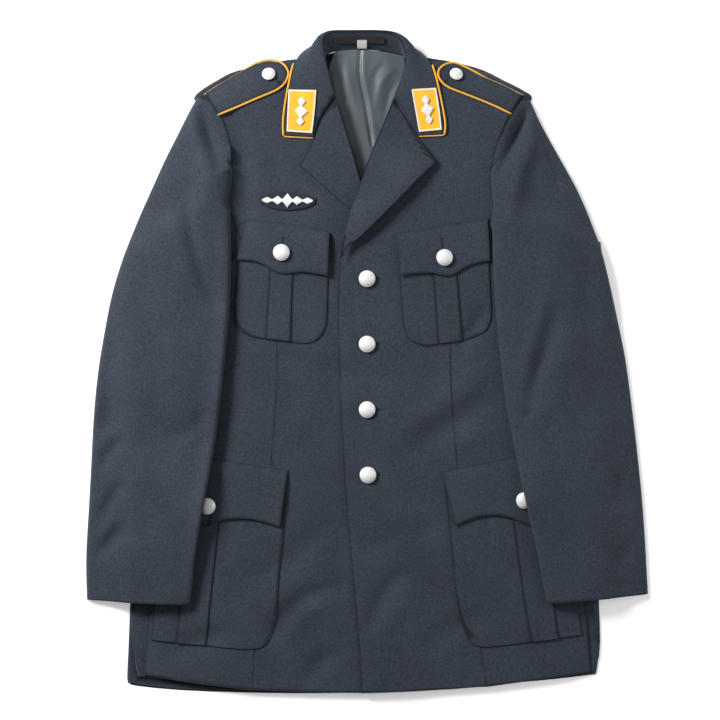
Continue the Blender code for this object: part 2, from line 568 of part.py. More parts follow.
def build_sleeve(side, table):
    """The top sleeve arches from the outer edge to the inner one, over the under sleeve"""
    columns = 11
    rows = smooth_rows(table, 2)
    outer, inner, under = [], [], []
    for k, row in enumerate(rows):
        start, end = Vector((row.outer_x, row.outer_y)), Vector((row.inner_x, row.inner_y))
        width = (end - start).length
        toward = (end - start) / width
        last = tube_end(row)
        half = width / (1 - math.cos(last))
        seam_height = body_top(end.x, end.y)
        rise = row.sewn * seam_height + (1 - row.sewn) * row.rise
        rise = max(rise, 2 * CLOTH + 1.0)
        outer_row, inner_row = [], []
        for j in range(columns + 1):
            turn = last * j / columns
            up = math.sin(turn) ** SLEEVE_ROUND if 0 < turn < math.pi else 0.0
            for line, shrink in ((outer_row, 0.0), (inner_row, CLOTH)):
                along = half - (half - shrink) * math.cos(turn)
                place = start + toward * along
                floor = sleeve_floor(place.x, place.y) * (1 - row.sewn)
                sag = trough(SLEEVE_FOLDS, place.x, place.y) * up
                line.append((place.x, place.y, floor + (rise - shrink) * up - sag))
        outer.append(outer_row)
        inner.append(inner_row)
        if k >= 2 * FIRST_UNDER:
            under.append([(start + toward * (UNDER_INSET + (width - 2 * UNDER_INSET) * j / 5), row.sewn)
                          for j in range(6)])
    wall("top_sleeve_" + side, outer, inner, WOOL)
    low = [[(p.x, p.y, sleeve_floor(p.x, p.y) * (1 - sewn)) for p, sewn in row] for row in under]
    high = [[(x, y, z + CLOTH) for x, y, z in row] for row in low]
    wall("under_sleeve_" + side, high, low, WOOL)


def build_pocket(name, table, on):
    """A patch pocket whose box pleat is raised in its outer points"""
    fractions_a = (0.0, 0.35, 0.7)
    edge = 0.6
    rows = smooth_rows(table, 1)
    grid = []
    for row in rows:
        xs = [row.a_x + (row.pleat_a - edge - row.a_x) * f for f in fractions_a]
        xs += [row.pleat_a - edge, row.pleat_a + edge, (row.pleat_a + row.pleat_b) / 2]
        xs += [row.pleat_b - edge, row.pleat_b + edge]
        xs += [row.b_x + (row.pleat_b + edge - row.b_x) * f for f in reversed(fractions_a)]
        span = row.b_x - row.a_x
        grid.append([Vector((x, row.a_y + (row.b_y - row.a_y) * (x - row.a_x) / span)) for x in xs])
    pleated = {4, 5, 6}
    low = []
    for line in grid:
        low.append([(p.x, p.y, (lie_on(on, p.x, p.y, 5) or 0.0) + GAP) for p in line])
    high = [[(x, y, z + TRIM + (PLEAT if j in pleated else 0.0)) for j, (x, y, z) in enumerate(line)]
            for line in low]
    wall(name, high, low, WOOL)


def build_flap(name, table, on, fronts):
    """A flap sewn along its top, standing on its pocket at its free edge"""
    rows = smooth_rows(table, 2)
    grid = []
    for row in rows:
        top, low = Vector((row.top_x, row.top_y)), Vector((row.low_x, row.low_y))
        grid.append([top.lerp(low, v) for v in (0.0, 0.2, 0.6, 1.0)])
    stand = (0.0, 0.85, 1.0, 1.0)

    def under(i, j, p):
        base = lie_on(fronts, p.x, p.y, 4) or 0.0
        return max(lie_on(on, p.x, p.y, 4) or 0.0, base + FLAP_STAND * stand[j]) + GAP

    sheet(name, grid, under, TRIM, WOOL)


def build_lapel(name, table, on, covered):
    """A lapel lies on its front and stands a little at its roll line, apart from where it is covered"""
    rows = smooth_rows(table, 2, LAPEL_CORNERS)
    columns = 5

    def under(i, j, p):
        u = j / columns
        stand = ROLL_RISE * (1 - u) ** 1.5 * (fade(p.y, 205, 245) if covered else 1.0)
        return (lie_on(on, p.x, p.y, 3) or 0.0) + GAP + stand

    sheet(name, rungs(rows, columns), under, CLOTH, WOOL)


def normals(grid):
    """Normal of a grid of points at each point"""
    rows, columns = len(grid), len(grid[0])
    result = []
    for i in range(rows):
        line = []
        for j in range(columns):
            along = Vector(grid[min(i + 1, rows - 1)][j]) - Vector(grid[max(i - 1, 0)][j])
            across = Vector(grid[i][min(j + 1, columns - 1)]) - Vector(grid[i][max(j - 1, 0)])
            line.append(along.cross(across).normalized())
        result.append(line)
    return result


def build_collar():
    """The fall turns over the fold and lies on the shoulders; the stand goes down to the neck seam"""
    rows = smooth_rows(COLLAR_ROUND, 2, COLLAR_CORNERS)
    on = ("front_right", "front_left")
    outer = []
    for row in rows:
        fold = Vector((row.fold_x, row.fold_y, row.fold_z))
        edge = Vector((row.edge_x, row.edge_y, row.edge_z))
        line = []
        for v in FALL_COLUMNS:
            place = fold.lerp(edge, v)
            out = (place.xy - NECK).normalized()
            swell = row.swell * math.sin(math.pi * min(v * 1.3, 1.0) ** 0.8)
            drop = (fold.z - edge.z) * (v - v ** 1.6)
            turn = -1.2 if v == 0 else 0.0
            z = place.z + drop + turn
            base = lie_on(on, place.x, place.y, 3)
            if base is not None:
                z = max(z, base + GAP + COLLAR + 0.2)
            line.append((place.x + out.x * swell, place.y + out.y * swell, z))
        outer.append(line)
    inner = []
    for line, turned in zip(outer, normals(outer)):
        inner.append([tuple(Vector(p) - n * COLLAR if n.z > 0 else Vector(p) + n * -COLLAR)
                      for p, n in zip(line, turned)])
    wall("collar_fall", outer, inner, WOOL)

    folds = COLLAR_ROUND[STAND_FIRST:STAND_LAST + 1]
    Band = namedtuple("Band", "foot_x foot_y foot_z top_x top_y top_z")
    bands = []
    for foot, row in zip(STAND_FOOT, folds):
        fold = Vector((row.fold_x, row.fold_y))
        fold -= (fold - NECK).normalized() * 1.6
        bands.append(Band(foot.x, foot.y, foot.z, fold.x, fold.y, row.fold_z - STAND_DROP))
    inside = []
    for band in smooth_rows(bands, 2):
        foot = Vector((band.foot_x, band.foot_y, band.foot_z))
        top = Vector((band.top_x, band.top_y, band.top_z))
        inside.append([foot.lerp(top, j / 3) for j in range(4)])
    outside = []
    for line, turned in zip(inside, normals(inside)):
        outside.append([tuple(p + n * CLOTH) for p, n in zip(line, turned)])
    wall("collar_stand", outside, [[tuple(p) for p in line] for line in inside], WOOL)
    return rows, outer


def piping(name, path, finish):
    """A round cord along a path, with closed ends"""
    curve = bpy.data.curves.new(name, "CURVE")
    curve.dimensions = "3D"
    curve.bevel_depth = PIPING * MM
    curve.bevel_resolution = 1
    curve.use_fill_caps = True
    spline = curve.splines.new("POLY")
    spline.points.add(len(path) - 1)
    for point, place in zip(spline.points, path):
        point.co = (*(Vector(place) * MM), 1)
    curve.materials.append(material(name, finish))
    cord = bpy.data.objects.new(name, curve)
    bpy.context.collection.objects.link(cord)
    return cord


def build_strap(side, table):
    """A shoulder strap on its shoulder, and the piping round its edge"""
    rows = smooth_rows(table, 2)
    on = ("front_" + side, "top_sleeve_" + side)
    columns = 4
    grid = rungs(rows, columns)
    low = []
    for line in grid:
        heights = [lie_on(on, p.x, p.y, 4) for p in line]
        known = [h for h in heights if h is not None]
        low.append([(p.x, p.y, (h if h is not None else known[0]) + GAP) for p, h in zip(line, heights)])
    high = [[(x, y, z + TRIM) for x, y, z in line] for line in low]
    wall("strap_" + side, high, low, WOOL)
    edge = [line[0] for line in low[::2]] + low[-1][1:-1] + [line[-1] for line in low[::-2]]
    middle = Vector((sum(p[0] for p in edge) / len(edge), sum(p[1] for p in edge) / len(edge)))
    path = []
    for k, place in enumerate(edge):
        a, b = Vector(edge[max(k - 1, 0)]), Vector(edge[min(k + 1, len(edge) - 1)])
        along = (b - a).xy.normalized()
        out = Vector((along.y, -along.x))
        if out.dot(Vector(place).xy - middle) < 0:
            out = -out
        away = PIPING + GAP + 0.5
        path.append((place[0] + out.x * away, place[1] + out.y * away, place[2] + PIPING))
    piping("strap_piping_" + side, path, PIPE_YELLOW)


def build_collar_piping(rows, outer):
    """Piping along the outer edge of the fall, from the shoulder to its corner"""
    for side, picked in (("right", range(0, 9)), ("left", range(len(rows) - 9, len(rows)))):
        path = []
        for i in picked:
            edge, beside = Vector(outer[i][-1]), Vector(outer[i][-2])
            out = (edge - beside).xy.normalized()
            away = PIPING + GAP + 0.2
            path.append((edge.x + out.x * away, edge.y + out.y * away, edge.z - 0.5))
        piping("collar_piping_" + side, path, PIPE_YELLOW)


def build_motif(name, start, end, table, on, finish):
    """A string of lozenges from start to end, raised on its backing"""
    along = Vector(end) - Vector(start)
    aside = Vector((-along.y, along.x)).normalized()
    grid = []
    for row in table:
        middle = Vector(start) + along * row.along
        grid.append([middle + aside * row.half_width * s for s in (-1, 0, 1)])
    patch(name, grid, on, MOTIF_WALL, finish, 2.5)


def build_button(button):
    """A turned button standing on its cloth, tilted with it"""
    x, y = button.x, button.y
    on = (button.on,)
    here = lie_on(on, x, y, 0) + 0.15
    slope_x = (lie_on(on, x + 4, y, 0) - lie_on(on, x - 4, y, 0)) / 8
    slope_y = (lie_on(on, x, y + 4, 0) - lie_on(on, x, y - 4, 0)) / 8
    up = Vector((-slope_x, -slope_y, 1)).normalized()
    turned = up.to_track_quat("Z", "Y")
    base = Vector((x, y, here + GAP))
    points, faces = [base.copy()], []
    for row in BUTTON:
        for k in range(BUTTON_SIDES):
            turn = 2 * math.pi * k / BUTTON_SIDES
            reach = row.radius * button.scale
            place = Vector((reach * math.cos(turn), reach * math.sin(turn), row.height * button.scale))
            points.append(base + turned @ place)
    points.append(base + turned @ Vector((0, 0, BUTTON_TOP * button.scale)))
    last = len(points) - 1
    rings = len(BUTTON)
    for k in range(BUTTON_SIDES):
        n = (k + 1) % BUTTON_SIDES
        faces.append((0, 1 + n, 1 + k))
        for r in range(rings - 1):
            a, b = 1 + r * BUTTON_SIDES + k, 1 + r * BUTTON_SIDES + n
            faces += [(a, b, b + BUTTON_SIDES), (a, b + BUTTON_SIDES, a + BUTTON_SIDES)]
        top = 1 + (rings - 1) * BUTTON_SIDES
        faces.append((top + k, top + n, last))
    make(button.name, points, faces, SILVER)


def recentre():
    """Put the origin under the middle of the whole jacket"""
    bpy.context.view_layer.update()
    graph = bpy.context.evaluated_depsgraph_get()
    low, high = Vector((1e9,) * 3), Vector((-1e9,) * 3)
    pieces = [o for o in bpy.data.objects if o.type in {"MESH", "CURVE"}]
    for piece in pieces:
        mesh = piece.evaluated_get(graph).to_mesh()
        for vertex in mesh.vertices:
            for k in range(3):
                low[k] = min(low[k], vertex.co[k])
                high[k] = max(high[k], vertex.co[k])
        piece.evaluated_get(graph).to_mesh_clear()
    shift = Vector((-(low.x + high.x) / 2, -(low.y + high.y) / 2, -low.z))
    for piece in pieces:
        piece.location = shift


def build():
    """Build the whole jacket from the floor up"""
    for old in list(bpy.data.objects):
        bpy.data.objects.remove(old, do_unlink=True)
    build_body()
    build_lapel("lapel_right", LAPEL_RIGHT, ("front_right",), True)
    build_lapel("lapel_left", LAPEL_LEFT, ("front_left",), False)
    rows, outer = build_collar()
    for side, chest, lower, chest_flap, lower_flap, sleeve, strap in (
            ("right", CHEST_POCKET_RIGHT, LOWER_POCKET_RIGHT, CHEST_FLAP_RIGHT, LOWER_FLAP_RIGHT,
             SLEEVE_RIGHT, STRAP_RIGHT),
            ("left", CHEST_POCKET_LEFT, LOWER_POCKET_LEFT, CHEST_FLAP_LEFT, LOWER_FLAP_LEFT,
             SLEEVE_LEFT, STRAP_LEFT)):
        fronts = ("front_" + side, "side_" + side)
        build_pocket("chest_pocket_" + side, chest, fronts)
        build_pocket("lower_pocket_" + side, lower, fronts)
        build_flap("chest_flap_" + side, chest_flap, fronts + ("chest_pocket_" + side,), fronts)
        build_flap("lower_flap_" + side, lower_flap, fronts + ("lower_pocket_" + side,), fronts)
        build_sleeve(side, sleeve)
        build_strap(side, strap)
    build_collar_piping(rows, outer)
    patch("hanger_strip", rungs(smooth_rows(HANGER_STRIP, 2), 2), ("collar_stand",), LABEL_WALL,
          HANGER_CLOTH, 1.0)
    patch("neck_label", rungs(NECK_LABEL, 2), ("collar_stand", "hanger_strip"), LABEL_WALL,
          LABEL_CLOTH, 1.2)
    patch("collar_tab_right", rungs(smooth_rows(TAB_RIGHT, 2), 4), ("collar_fall",), TRIM, TAB_YELLOW, 4)
    patch("collar_tab_left", rungs(smooth_rows(TAB_LEFT, 2), 4), ("collar_fall",), TRIM, TAB_YELLOW, 4)
    build_motif("tab_motif_right", (-77.5, 314), (-79.5, 281), TAB_MOTIF, ("collar_tab_right",), WHITE_THREAD)
    build_motif("tab_motif_left", (68.5, 316), (74.5, 283), TAB_MOTIF, ("collar_tab_left",), WHITE_THREAD)
    patch("breast_badge", rungs(smooth_rows(BADGE, 2), 3), ("front_right",), TRIM, BADGE_CLOTH, 4)
    build_motif("badge_motif", (-125, 192.5), (-65, 191.5), BADGE_MOTIF, ("breast_badge",), WHITE_THREAD)
    for button in BUTTONS:
        build_button(button)
    recentre()


build()
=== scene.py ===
# %% [markdown]
# # A uniform jacket laid flat
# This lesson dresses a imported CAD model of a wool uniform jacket. The CAD solids already have the true size
# and the true outline of every cut piece, but they are plain and coarse. Here each of them gets a finer
# copy with rolled edges and creases, a woven finish, and the sewing that a tailor would add.
# Everything is in metres, +Z is up, and the jacket lies on its back with its collar towards +Y.

# %% Load the frame
import math

import bmesh
import bpy
import numpy as np
from mathutils import Matrix, Vector, noise
from mathutils.bvhtree import BVHTree
from mathutils.kdtree import KDTree


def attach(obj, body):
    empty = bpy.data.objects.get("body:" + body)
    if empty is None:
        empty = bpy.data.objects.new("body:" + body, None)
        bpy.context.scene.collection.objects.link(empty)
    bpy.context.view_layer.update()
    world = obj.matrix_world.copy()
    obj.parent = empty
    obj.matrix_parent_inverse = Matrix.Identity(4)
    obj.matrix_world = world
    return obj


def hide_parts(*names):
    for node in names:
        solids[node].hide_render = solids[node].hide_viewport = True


MM = 0.001
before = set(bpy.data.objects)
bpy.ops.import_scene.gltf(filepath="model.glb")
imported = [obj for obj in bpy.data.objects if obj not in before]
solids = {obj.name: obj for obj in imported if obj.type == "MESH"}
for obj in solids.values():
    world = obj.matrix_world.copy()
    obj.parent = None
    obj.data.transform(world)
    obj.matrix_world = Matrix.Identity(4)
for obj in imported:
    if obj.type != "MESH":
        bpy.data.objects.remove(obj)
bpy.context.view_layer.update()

# %% [markdown]
# ## The camera
# The photograph looks straight down from high above. A long lens at two metres gives the same slight
# perspective. One pixel of a 720 pixel frame is 1.2 mm on the jacket, so the frame is 864 mm wide.

# %% Camera
FRAME_WIDTH = 0.864
VIEW_X, VIEW_Y = -0.0084, 0.0018
LENS, SENSOR = 85.0, 36.0


def placed(name, data):
    """A new object in the scene"""
    made = bpy.data.objects.new(name, data)
    bpy.context.scene.collection.objects.link(made)
    return made


camera_data = bpy.data.cameras.new("camera")
camera_data.lens = LENS
camera_data.sensor_width = SENSOR
camera = placed("camera", camera_data)
camera.location = (VIEW_X, VIEW_Y, FRAME_WIDTH * LENS / SENSOR)
bpy.context.scene.camera = camera
print(f"camera {camera.location.z:.2f} m above the floor")

# %% [markdown]
# ## Light
# The cloth is nearly black, so its folds are only seen by light that rakes over them. One broad soft light
# stands low at the upper left, a weaker one fills from the right, and the white surroundings do the rest.
# The floor is plain and white, and the standard view keeps it pure white.

# %% Floor, lights and surroundings
KEY_ENERGY, FILL_ENERGY, TOP_ENERGY, SKY = 60.0, 16.0, 5.0, 0.15


def softbox(name, place, aim, size, energy):
    """A square light at a place that faces a point"""
    data = bpy.data.lights.new(name, "AREA")
    data.size, data.energy = size, energy
    lamp = placed(name, data)
    lamp.location = place
    lamp.rotation_euler = (Vector(aim) - Vector(place)).to_track_quat("-Z", "Y").to_euler()
    return lamp


softbox("key", (-1.38, 1.0, 1.18), (0, 0, 0), 0.6, KEY_ENERGY)
softbox("fill", (1.8, 0.1, 0.85), (0, 0, 0), 1.2, FILL_ENERGY)
softbox("top", (-0.2, 0.3, 2.4), (0, 0, 0), 1.6, TOP_ENERGY)

world = bpy.data.worlds.new("surroundings")
world.use_nodes = True
world.node_tree.nodes["Background"].inputs["Color"].default_value = (1, 1, 1, 1)
world.node_tree.nodes["Background"].inputs["Strength"].default_value = SKY
bpy.context.scene.world = world
bpy.context.scene.view_settings.view_transform = "Standard"
print("three lights and a white sky")

# %% [markdown]
# ## Writing shader maths
# A finish is a small sum: a base tone, plus some mottle, minus some dirt. Drawing that with nodes hides the
# sum, so one class wraps a socket and lets Python's own signs add the Math nodes. Every other node comes
# from one method that takes the node's type, its settings and the values or links of its sockets.

# %% Sockets that can be added and multiplied
class Flow:
    """One output socket of a recipe, on which sums can be written"""

    def __init__(self, recipe, socket):
        self.recipe, self.socket = recipe, socket

    def math(self, operation, *terms):
        inputs = dict(enumerate(terms))
        return self.recipe.node("ShaderNodeMath", inputs, operation=operation)

    def __add__(self, other):
        return self.math("ADD", self, other)

    def __sub__(self, other):
        return self.math("SUBTRACT", self, other)

    def __rsub__(self, other):
        return self.math("SUBTRACT", other, self)

    def __mul__(self, other):
        return self.math("MULTIPLY", self, other)

    __radd__, __rmul__ = __add__, __mul__

    def sine(self):
        return self.math("SINE", self)

    def clamp(self):
        return self.recipe.node("ShaderNodeClamp", {"Value": self})


class Recipe:
    """A material that is written node by node"""

    def __init__(self, name):
        self.material = bpy.data.materials.new(name)
        self.material.use_nodes = True
        self.tree = self.material.node_tree
        self.tree.nodes.clear()

    def node(self, kind, inputs=None, output=0, **settings):
        made = self.tree.nodes.new(kind)
        for key, value in settings.items():
            setattr(made, key, value)
        for key, value in (inputs or {}).items():
            if isinstance(value, Flow):
                self.tree.links.new(value.socket, made.inputs[key])
            else:
                made.inputs[key].default_value = value
        return Flow(self, made.outputs[output])

    def place(self, turn=0.0):
        """Object coordinates, turned about Z so that a weave follows its piece"""
        where = self.node("ShaderNodeTexCoord", output="Object")
        return self.node("ShaderNodeMapping", {"Vector": where, "Rotation": (0, 0, turn)})

    def noise(self, where, scale, detail=2.0, rough=0.5):
        return self.node("ShaderNodeTexNoise", {"Vector": where, "Scale": scale, "Detail": detail,
                                                "Roughness": rough})

    def blend(self, share, low, high):
        """A colour between two colours"""
        return self.node("ShaderNodeMix", {0: share, 6: low if isinstance(low, Flow) else (*low, 1),
                                           7: high if isinstance(high, Flow) else (*high, 1)},
                         output=2, data_type="RGBA")

    def bump(self, height, distance, strength=1.0):
        return self.node("ShaderNodeBump", {"Height": height, "Distance": distance, "Strength": strength})

    def finish(self, **sockets):
        """The Principled shader that ends the recipe"""
        named = {key.replace("_", " "): value for key, value in sockets.items()}
        shader = self.node("ShaderNodeBsdfPrincipled", named)
        out = self.tree.nodes.new("ShaderNodeOutputMaterial")
        self.tree.links.new(shader.socket, out.inputs["Surface"])
        return self.material


print("recipes ready")

# %% [markdown]
# ## Wool twill
# The cloth is a fulled blue-grey twill. Up close it has fine diagonal ribs, and from two metres only an
# uneven heather of lighter and darker fibres is left. Three noises of different sizes carry the heather,
# a sine along a slanted line gives the ribs, and both also raise the surface a little.

# %% Wool
WOOL_DARK = (0.013, 0.018, 0.027)
WOOL_LIGHT = (0.057, 0.075, 0.103)
# Painted shade: along each cut edge the wool is blended towards this near-black, by up to this share, for the
# shadow line at the edge.
WOOL_EDGE_SHADE = (0.006, 0.008, 0.012)
EDGE_SHADE_SHARE = 0.88
RIB = 2 * math.pi / (0.9 * MM)


def wool(name, turn=0.0):
    recipe = Recipe(name)
    where = recipe.place(turn)
    axes = [recipe.node("ShaderNodeSeparateXYZ", {0: where}, output=k) for k in range(3)]
    wander = recipe.noise(where, 140, 1.0)
    ribs = ((axes[0] * 0.8 + axes[1] * 0.6 + axes[2] * 0.7) * RIB + wander * 3.0).sine() * 0.5 + 0.5
    heather = recipe.noise(where, 820, 2.0, 0.65)
    flecks = recipe.noise(where, 430, 3.0, 0.65)
    shade = recipe.noise(where, 14, 3.0, 0.55)
    share = (heather * 0.75 + flecks * 1.0 + ribs * 0.16 + shade * 0.35 - 0.82).clamp()
    # Painted shade: the 'edge' mask darkens the cloth along its cut edges.
    rim = recipe.node("ShaderNodeAttribute", output=2, attribute_name="edge")
    hue = recipe.blend(rim * EDGE_SHADE_SHARE, recipe.blend(share, WOOL_DARK, WOOL_LIGHT), WOOL_EDGE_SHADE)
    height = ribs * 0.5 + heather * 0.6 + flecks * 0.5
    return recipe.finish(Base_Color=hue, Roughness=share * -0.12 + 0.92, Specular_IOR_Level=0.3,
                         Sheen_Weight=0.22, Sheen_Roughness=0.45, Sheen_Tint=(0.62, 0.68, 0.78, 1),
                         Normal=recipe.bump(height, 0.12 * MM, 0.75))


wools = {}


def wool_turned(degrees):
    """The one wool, with its ribs turned as its piece is cut"""
    key = f"wool_{degrees:+.0f}"
    if key not in wools:
        wools[key] = wool(key, math.radians(degrees))
    return wools[key]


print("wool heather from", WOOL_DARK, "to", WOOL_LIGHT)

# %% [markdown]
# ## From a solid to cloth
# A piece of cloth has the outline of its solid, but its cut edge is rolled over and its face is never flat.
# The solid comes in as loose triangles. So each one is copied, its doubled corners merged and its
# triangles joined back to squares. A bevel rolls the sharp edges, and a subdivision surface then smooths
# the whole, which leaves enough points to press creases into.

# %% Fine copies of the solids
MERGE = 1e-6                 # corners as near as this are one corner
SHARP = math.radians(48)     # a bend as sharp as this is a cut edge
LEVEL = math.radians(38)     # two triangles that bend less than this may form a square
JOIN = math.radians(55)      # and its corners may be this far from right angles
THIN = 2.2 * MM              # faces along a cut edge are narrower than this
EDGE_SHADE_BAND = 0.85 * MM        # how far the painted shade along a cut edge reaches


def corners_of(mesh):
    places = np.zeros(len(mesh.vertices) * 3, np.float32)
    mesh.vertices.foreach_get("co", places)
    return places.reshape(-1, 3).astype(float)


def set_corners(mesh, places):
    mesh.vertices.foreach_set("co", places.astype(np.float32).ravel())
    mesh.update()


def tree_of(points):
    tree = KDTree(len(points))
    for k, place in enumerate(points):
        tree.insert(place, k)
    tree.balance()
    return tree


def squares(name):
    """The solid's mesh with merged corners, squares for triangles, and its narrow rim faces marked"""
    bm = bmesh.new()
    bm.from_mesh(solids[name].data)
    bmesh.ops.remove_doubles(bm, verts=bm.verts, dist=MERGE)
    bmesh.ops.join_triangles(bm, faces=bm.faces, angle_face_threshold=LEVEL,
                             angle_shape_threshold=JOIN)
    rim = bm.faces.layers.float.new("rim")
    for face in bm.faces:
        sharp = sum(len(e.link_faces) == 2 and e.calc_face_angle() > SHARP for e in face.edges)
        face[rim] = float(sharp > 0 and face.calc_area() / max(e.calc_length() for e in face.edges) < THIN)
    return bm


def settled(obj, name):
    """The object with its modifiers turned into a plain mesh"""
    bpy.context.view_layer.update()
    graph = bpy.context.evaluated_depsgraph_get()
    mesh = bpy.data.meshes.new_from_object(obj.evaluated_get(graph))
    mesh.name = name
    obj.modifiers.clear()
    obj.data = mesh
    return obj


def smoothed(obj, level, name):
    smooth = obj.modifiers.new("smooth", "SUBSURF")
    smooth.levels = smooth.render_levels = level
    return settled(obj, name)


def hold_outline(obj):
    """Moves each corner out, level, by as much as smoothing would pull it in"""
    trial = obj.copy()
    bpy.context.scene.collection.objects.link(trial)
    smoothed(trial, 1, "trial")
    places = corners_of(obj.data)
    pulled = corners_of(trial.data)[:len(places)]
    places[:, :2] += places[:, :2] - pulled[:, :2]
    set_corners(obj.data, places)
    bpy.data.objects.remove(trial)


def rim_corners(mesh):
    """Indices of the corners of the narrow rim faces"""
    rim = mesh.attributes["rim"]
    return sorted({v for face in mesh.polygons if rim.data[face.index].value > 0.5 for v in face.vertices})


def paint_edge_shade(mesh):
    """Writes how near each corner is to the piece's own cut edge, from 0 to 1, as the mask of the painted
    shade there
    """
    places = corners_of(mesh)
    edge_shade = np.zeros(len(places))
    ends = rim_corners(mesh)
    if ends:
        tree = tree_of(places[ends])
        edge_shade = np.array([math.exp(-(tree.find(place)[2] / EDGE_SHADE_BAND) ** 2) for place in places])
    layer = mesh.attributes.new("edge", "FLOAT", "POINT")
    layer.data.foreach_set("value", edge_shade.astype(np.float32))


def cover(mesh, material):
    """Gives a mesh one finish in place of any other"""
    mesh.materials.clear()
    mesh.materials.append(material)


def fine_copy(name, piece, level, roll):
    """A smooth copy of a solid, with rolled edges"""
    bm = squares(name)
    mesh = bpy.data.meshes.new(piece)
    bm.to_mesh(mesh)
    bm.free()
    mesh.shade_smooth()
    obj = placed(piece, mesh)
    bevel = obj.modifiers.new("rolled edge", "BEVEL")
    bevel.width, bevel.segments, bevel.limit_method = roll, 2, "ANGLE"
    bevel.angle_limit = SHARP
    if roll > 0:
        settled(obj, piece)
    else:
        obj.modifiers.clear()
    hold_outline(obj)
    smoothed(obj, level, piece)
    # Paints shade along the cut edges, as a mask that the wool reads.
    paint_edge_shade(obj.data)
    return obj


print("the back comes back as", len(squares("back").faces), "faces")

# %% [markdown]
# ## Creases from a table
# The jacket has been worn and then laid out, so soft pulls run from the armholes, the elbows and the waist
# button. A simulation would put them anywhere. Each one is instead a line of two to six points, with a
# width and a depth in millimetres. A positive depth presses a trough and a negative one raises a ridge, and
# both fade out at their ends.

# %% The table of creases
# name, points, width, depth
SLEEVE_RIGHT = [
    ("inner edge", ((-163, 184), (-163, 75), (-173, -45), (-186, -140), (-202, -290)), 13, -9.5),
    ("edge above the cuff", ((-188, -120), (-196, -200), (-205, -290)), 13, -5.0),
    ("armhole pull", ((-200, 306), (-187, 268), (-174, 225)), 7.5, 6.6),
    ("ridge beside it", ((-212, 300), (-203, 266), (-190, 228)), 8, -2.8),
    ("long curved pull", ((-217, 212), (-208, 146), (-193, 95), (-173, 63)), 8, 4.6),
    ("ridge beside it", ((-229, 176), (-216, 119), (-197, 74)), 12, -1.8),
    ("elbow, upper", ((-325, -133), (-308, -109), (-289, -89)), 9, 4.2),
    ("elbow, upper ridge", ((-324, -109), (-306, -82)), 8, -1.8),
    ("elbow, lower", ((-325, -193), (-306, -166), (-287, -142)), 9, 4.4),
    ("elbow, lower ridge", ((-320, -214), (-298, -183)), 7, -1.8),
    ("above the cuff", ((-326, -236), (-306, -214), (-284, -193)), 9, 4.0),
    ("outer arm", ((-314, -85), (-305, -44)), 13, 3.2),
    ("middle of the arm", ((-260, 38), (-248, -70), (-251, -166)), 20, 2.4),
    ("outer edge hollow", ((-306, 40), (-316, -60), (-326, -150)), 13, 3.2),
    ("inner elbow fan", ((-186, -60), (-216, -84), (-246, -92)), 10, 2.6),
    ("inner elbow", ((-186, -85), (-205, -109)), 10, 1.8),
]
SLEEVE_LEFT = [
    ("armhole pull", ((199, 318), (179, 270), (152, 214)), 6.5, 7.5),
    ("sharp ridge", ((197, 306), (209, 262), (224, 214)), 4, -1.8),
    ("hollow outside it", ((203, 306), (217, 258), (234, 200)), 6, 2.4),
    ("ridge beside it", ((209, 309), (197, 260), (178, 212), (170, 152)), 9, -4.0),
    ("outer ridge", ((222, 284), (239, 230), (256, 170)), 12, -2.0),
    ("inner elbow pull", ((227, 68), (214, 20), (199, -28), (191, -70)), 9, 5.0),
    ("inner elbow ridge", ((215, 86), (196, 26), (181, -34)), 9, -3.4),
    ("outer elbow ridge", ((244, 62), (229, -10), (220, -70)), 12, -1.6),
    ("nick at the edge", ((198, -57), (182, -71)), 5, 2.2),
    ("lower arm", ((232, -130), (244, -202), (251, -272)), 22, 2.0),
    ("elbow, outer", ((316, -130), (294, -161)), 10, 1.9),
    ("above the cuff", ((323, -214), (294, -245)), 10, 1.8),
    ("outer arm ridge", ((280, 134), (294, 38)), 17, -1.4),
    ("outer arm hollow", ((262, 120), (268, 20), (272, -70)), 14, 2.6),
    ("second inner pull", ((212, -60), (226, -108), (246, -150)), 12, 2.6),
]
BODY = [
    ("drag to the waist", ((25, -123), (88, -85), (155, -37)), 17, 4.0),
    ("ridge above it", ((35, -89), (100, -44), (150, -8)), 15, -3.0),
    ("puff above the flap", ((102, -106), (136, -76)), 12, -2.4),
    ("chest pocket corner", ((106, 16), (126, 38), (143, 71)), 9, 3.6),
    ("right hem drag", ((-126, -344), (-102, -308), (-76, -284), (-25, -265)), 11, 4.6),
    ("right hem ridge", ((-98, -334), (-68, -301), (-35, -286)), 10, -1.9),
    ("left hem drag", ((1, -322), (20, -280), (47, -248)), 11, 4.2),
    ("left hem ridge", ((20, -325), (42, -286)), 10, -1.7),
    ("right hem corner", ((-74, -387), (-56, -361), (-40, -344)), 12, 4.0),
    ("left skirt", ((40, -220), (76, -262), (88, -334)), 22, 3.0),
    ("beside the edge, chest", ((-40, 74), (-40, 2), (-37, -94)), 12, 2.6),
    ("beside the edge, skirt", ((-35, -190), (-29, -286)), 13, 2.4),
    ("under the right flap", ((-155, -220), (-92, -230)), 11, 1.5),
    ("waist, right", ((-140, -22), (-80, -70)), 18, 2.2),
    ("skirt, left of the edge", ((-46, -190), (-90, -236), (-150, -262)), 15, 3.4),
    ("skirt, middle", ((-10, -228), (50, -206), (96, -190)), 15, 3.0),
    ("second hem fold", ((60, -352), (110, -318), (170, -300)), 14, 3.4),
    ("hem fold, far left", ((-240, -352), (-190, -330), (-150, -318)), 13, 3.2),
    ("breast hollow", ((-120, 240), (-100, 205), (-60, 188)), 16, 2.4),
    ("waist, left of the buttons", ((-4, -20), (-60, -8), (-104, 14)), 13, 2.6),
    ("beside the armhole", ((-172, 306), (-152, 262), (-145, 205), (-150, 150)), 12, 5.5),
    ("waist, right ridge", ((-97, -94), (-59, -46)), 18, -2.0),
]
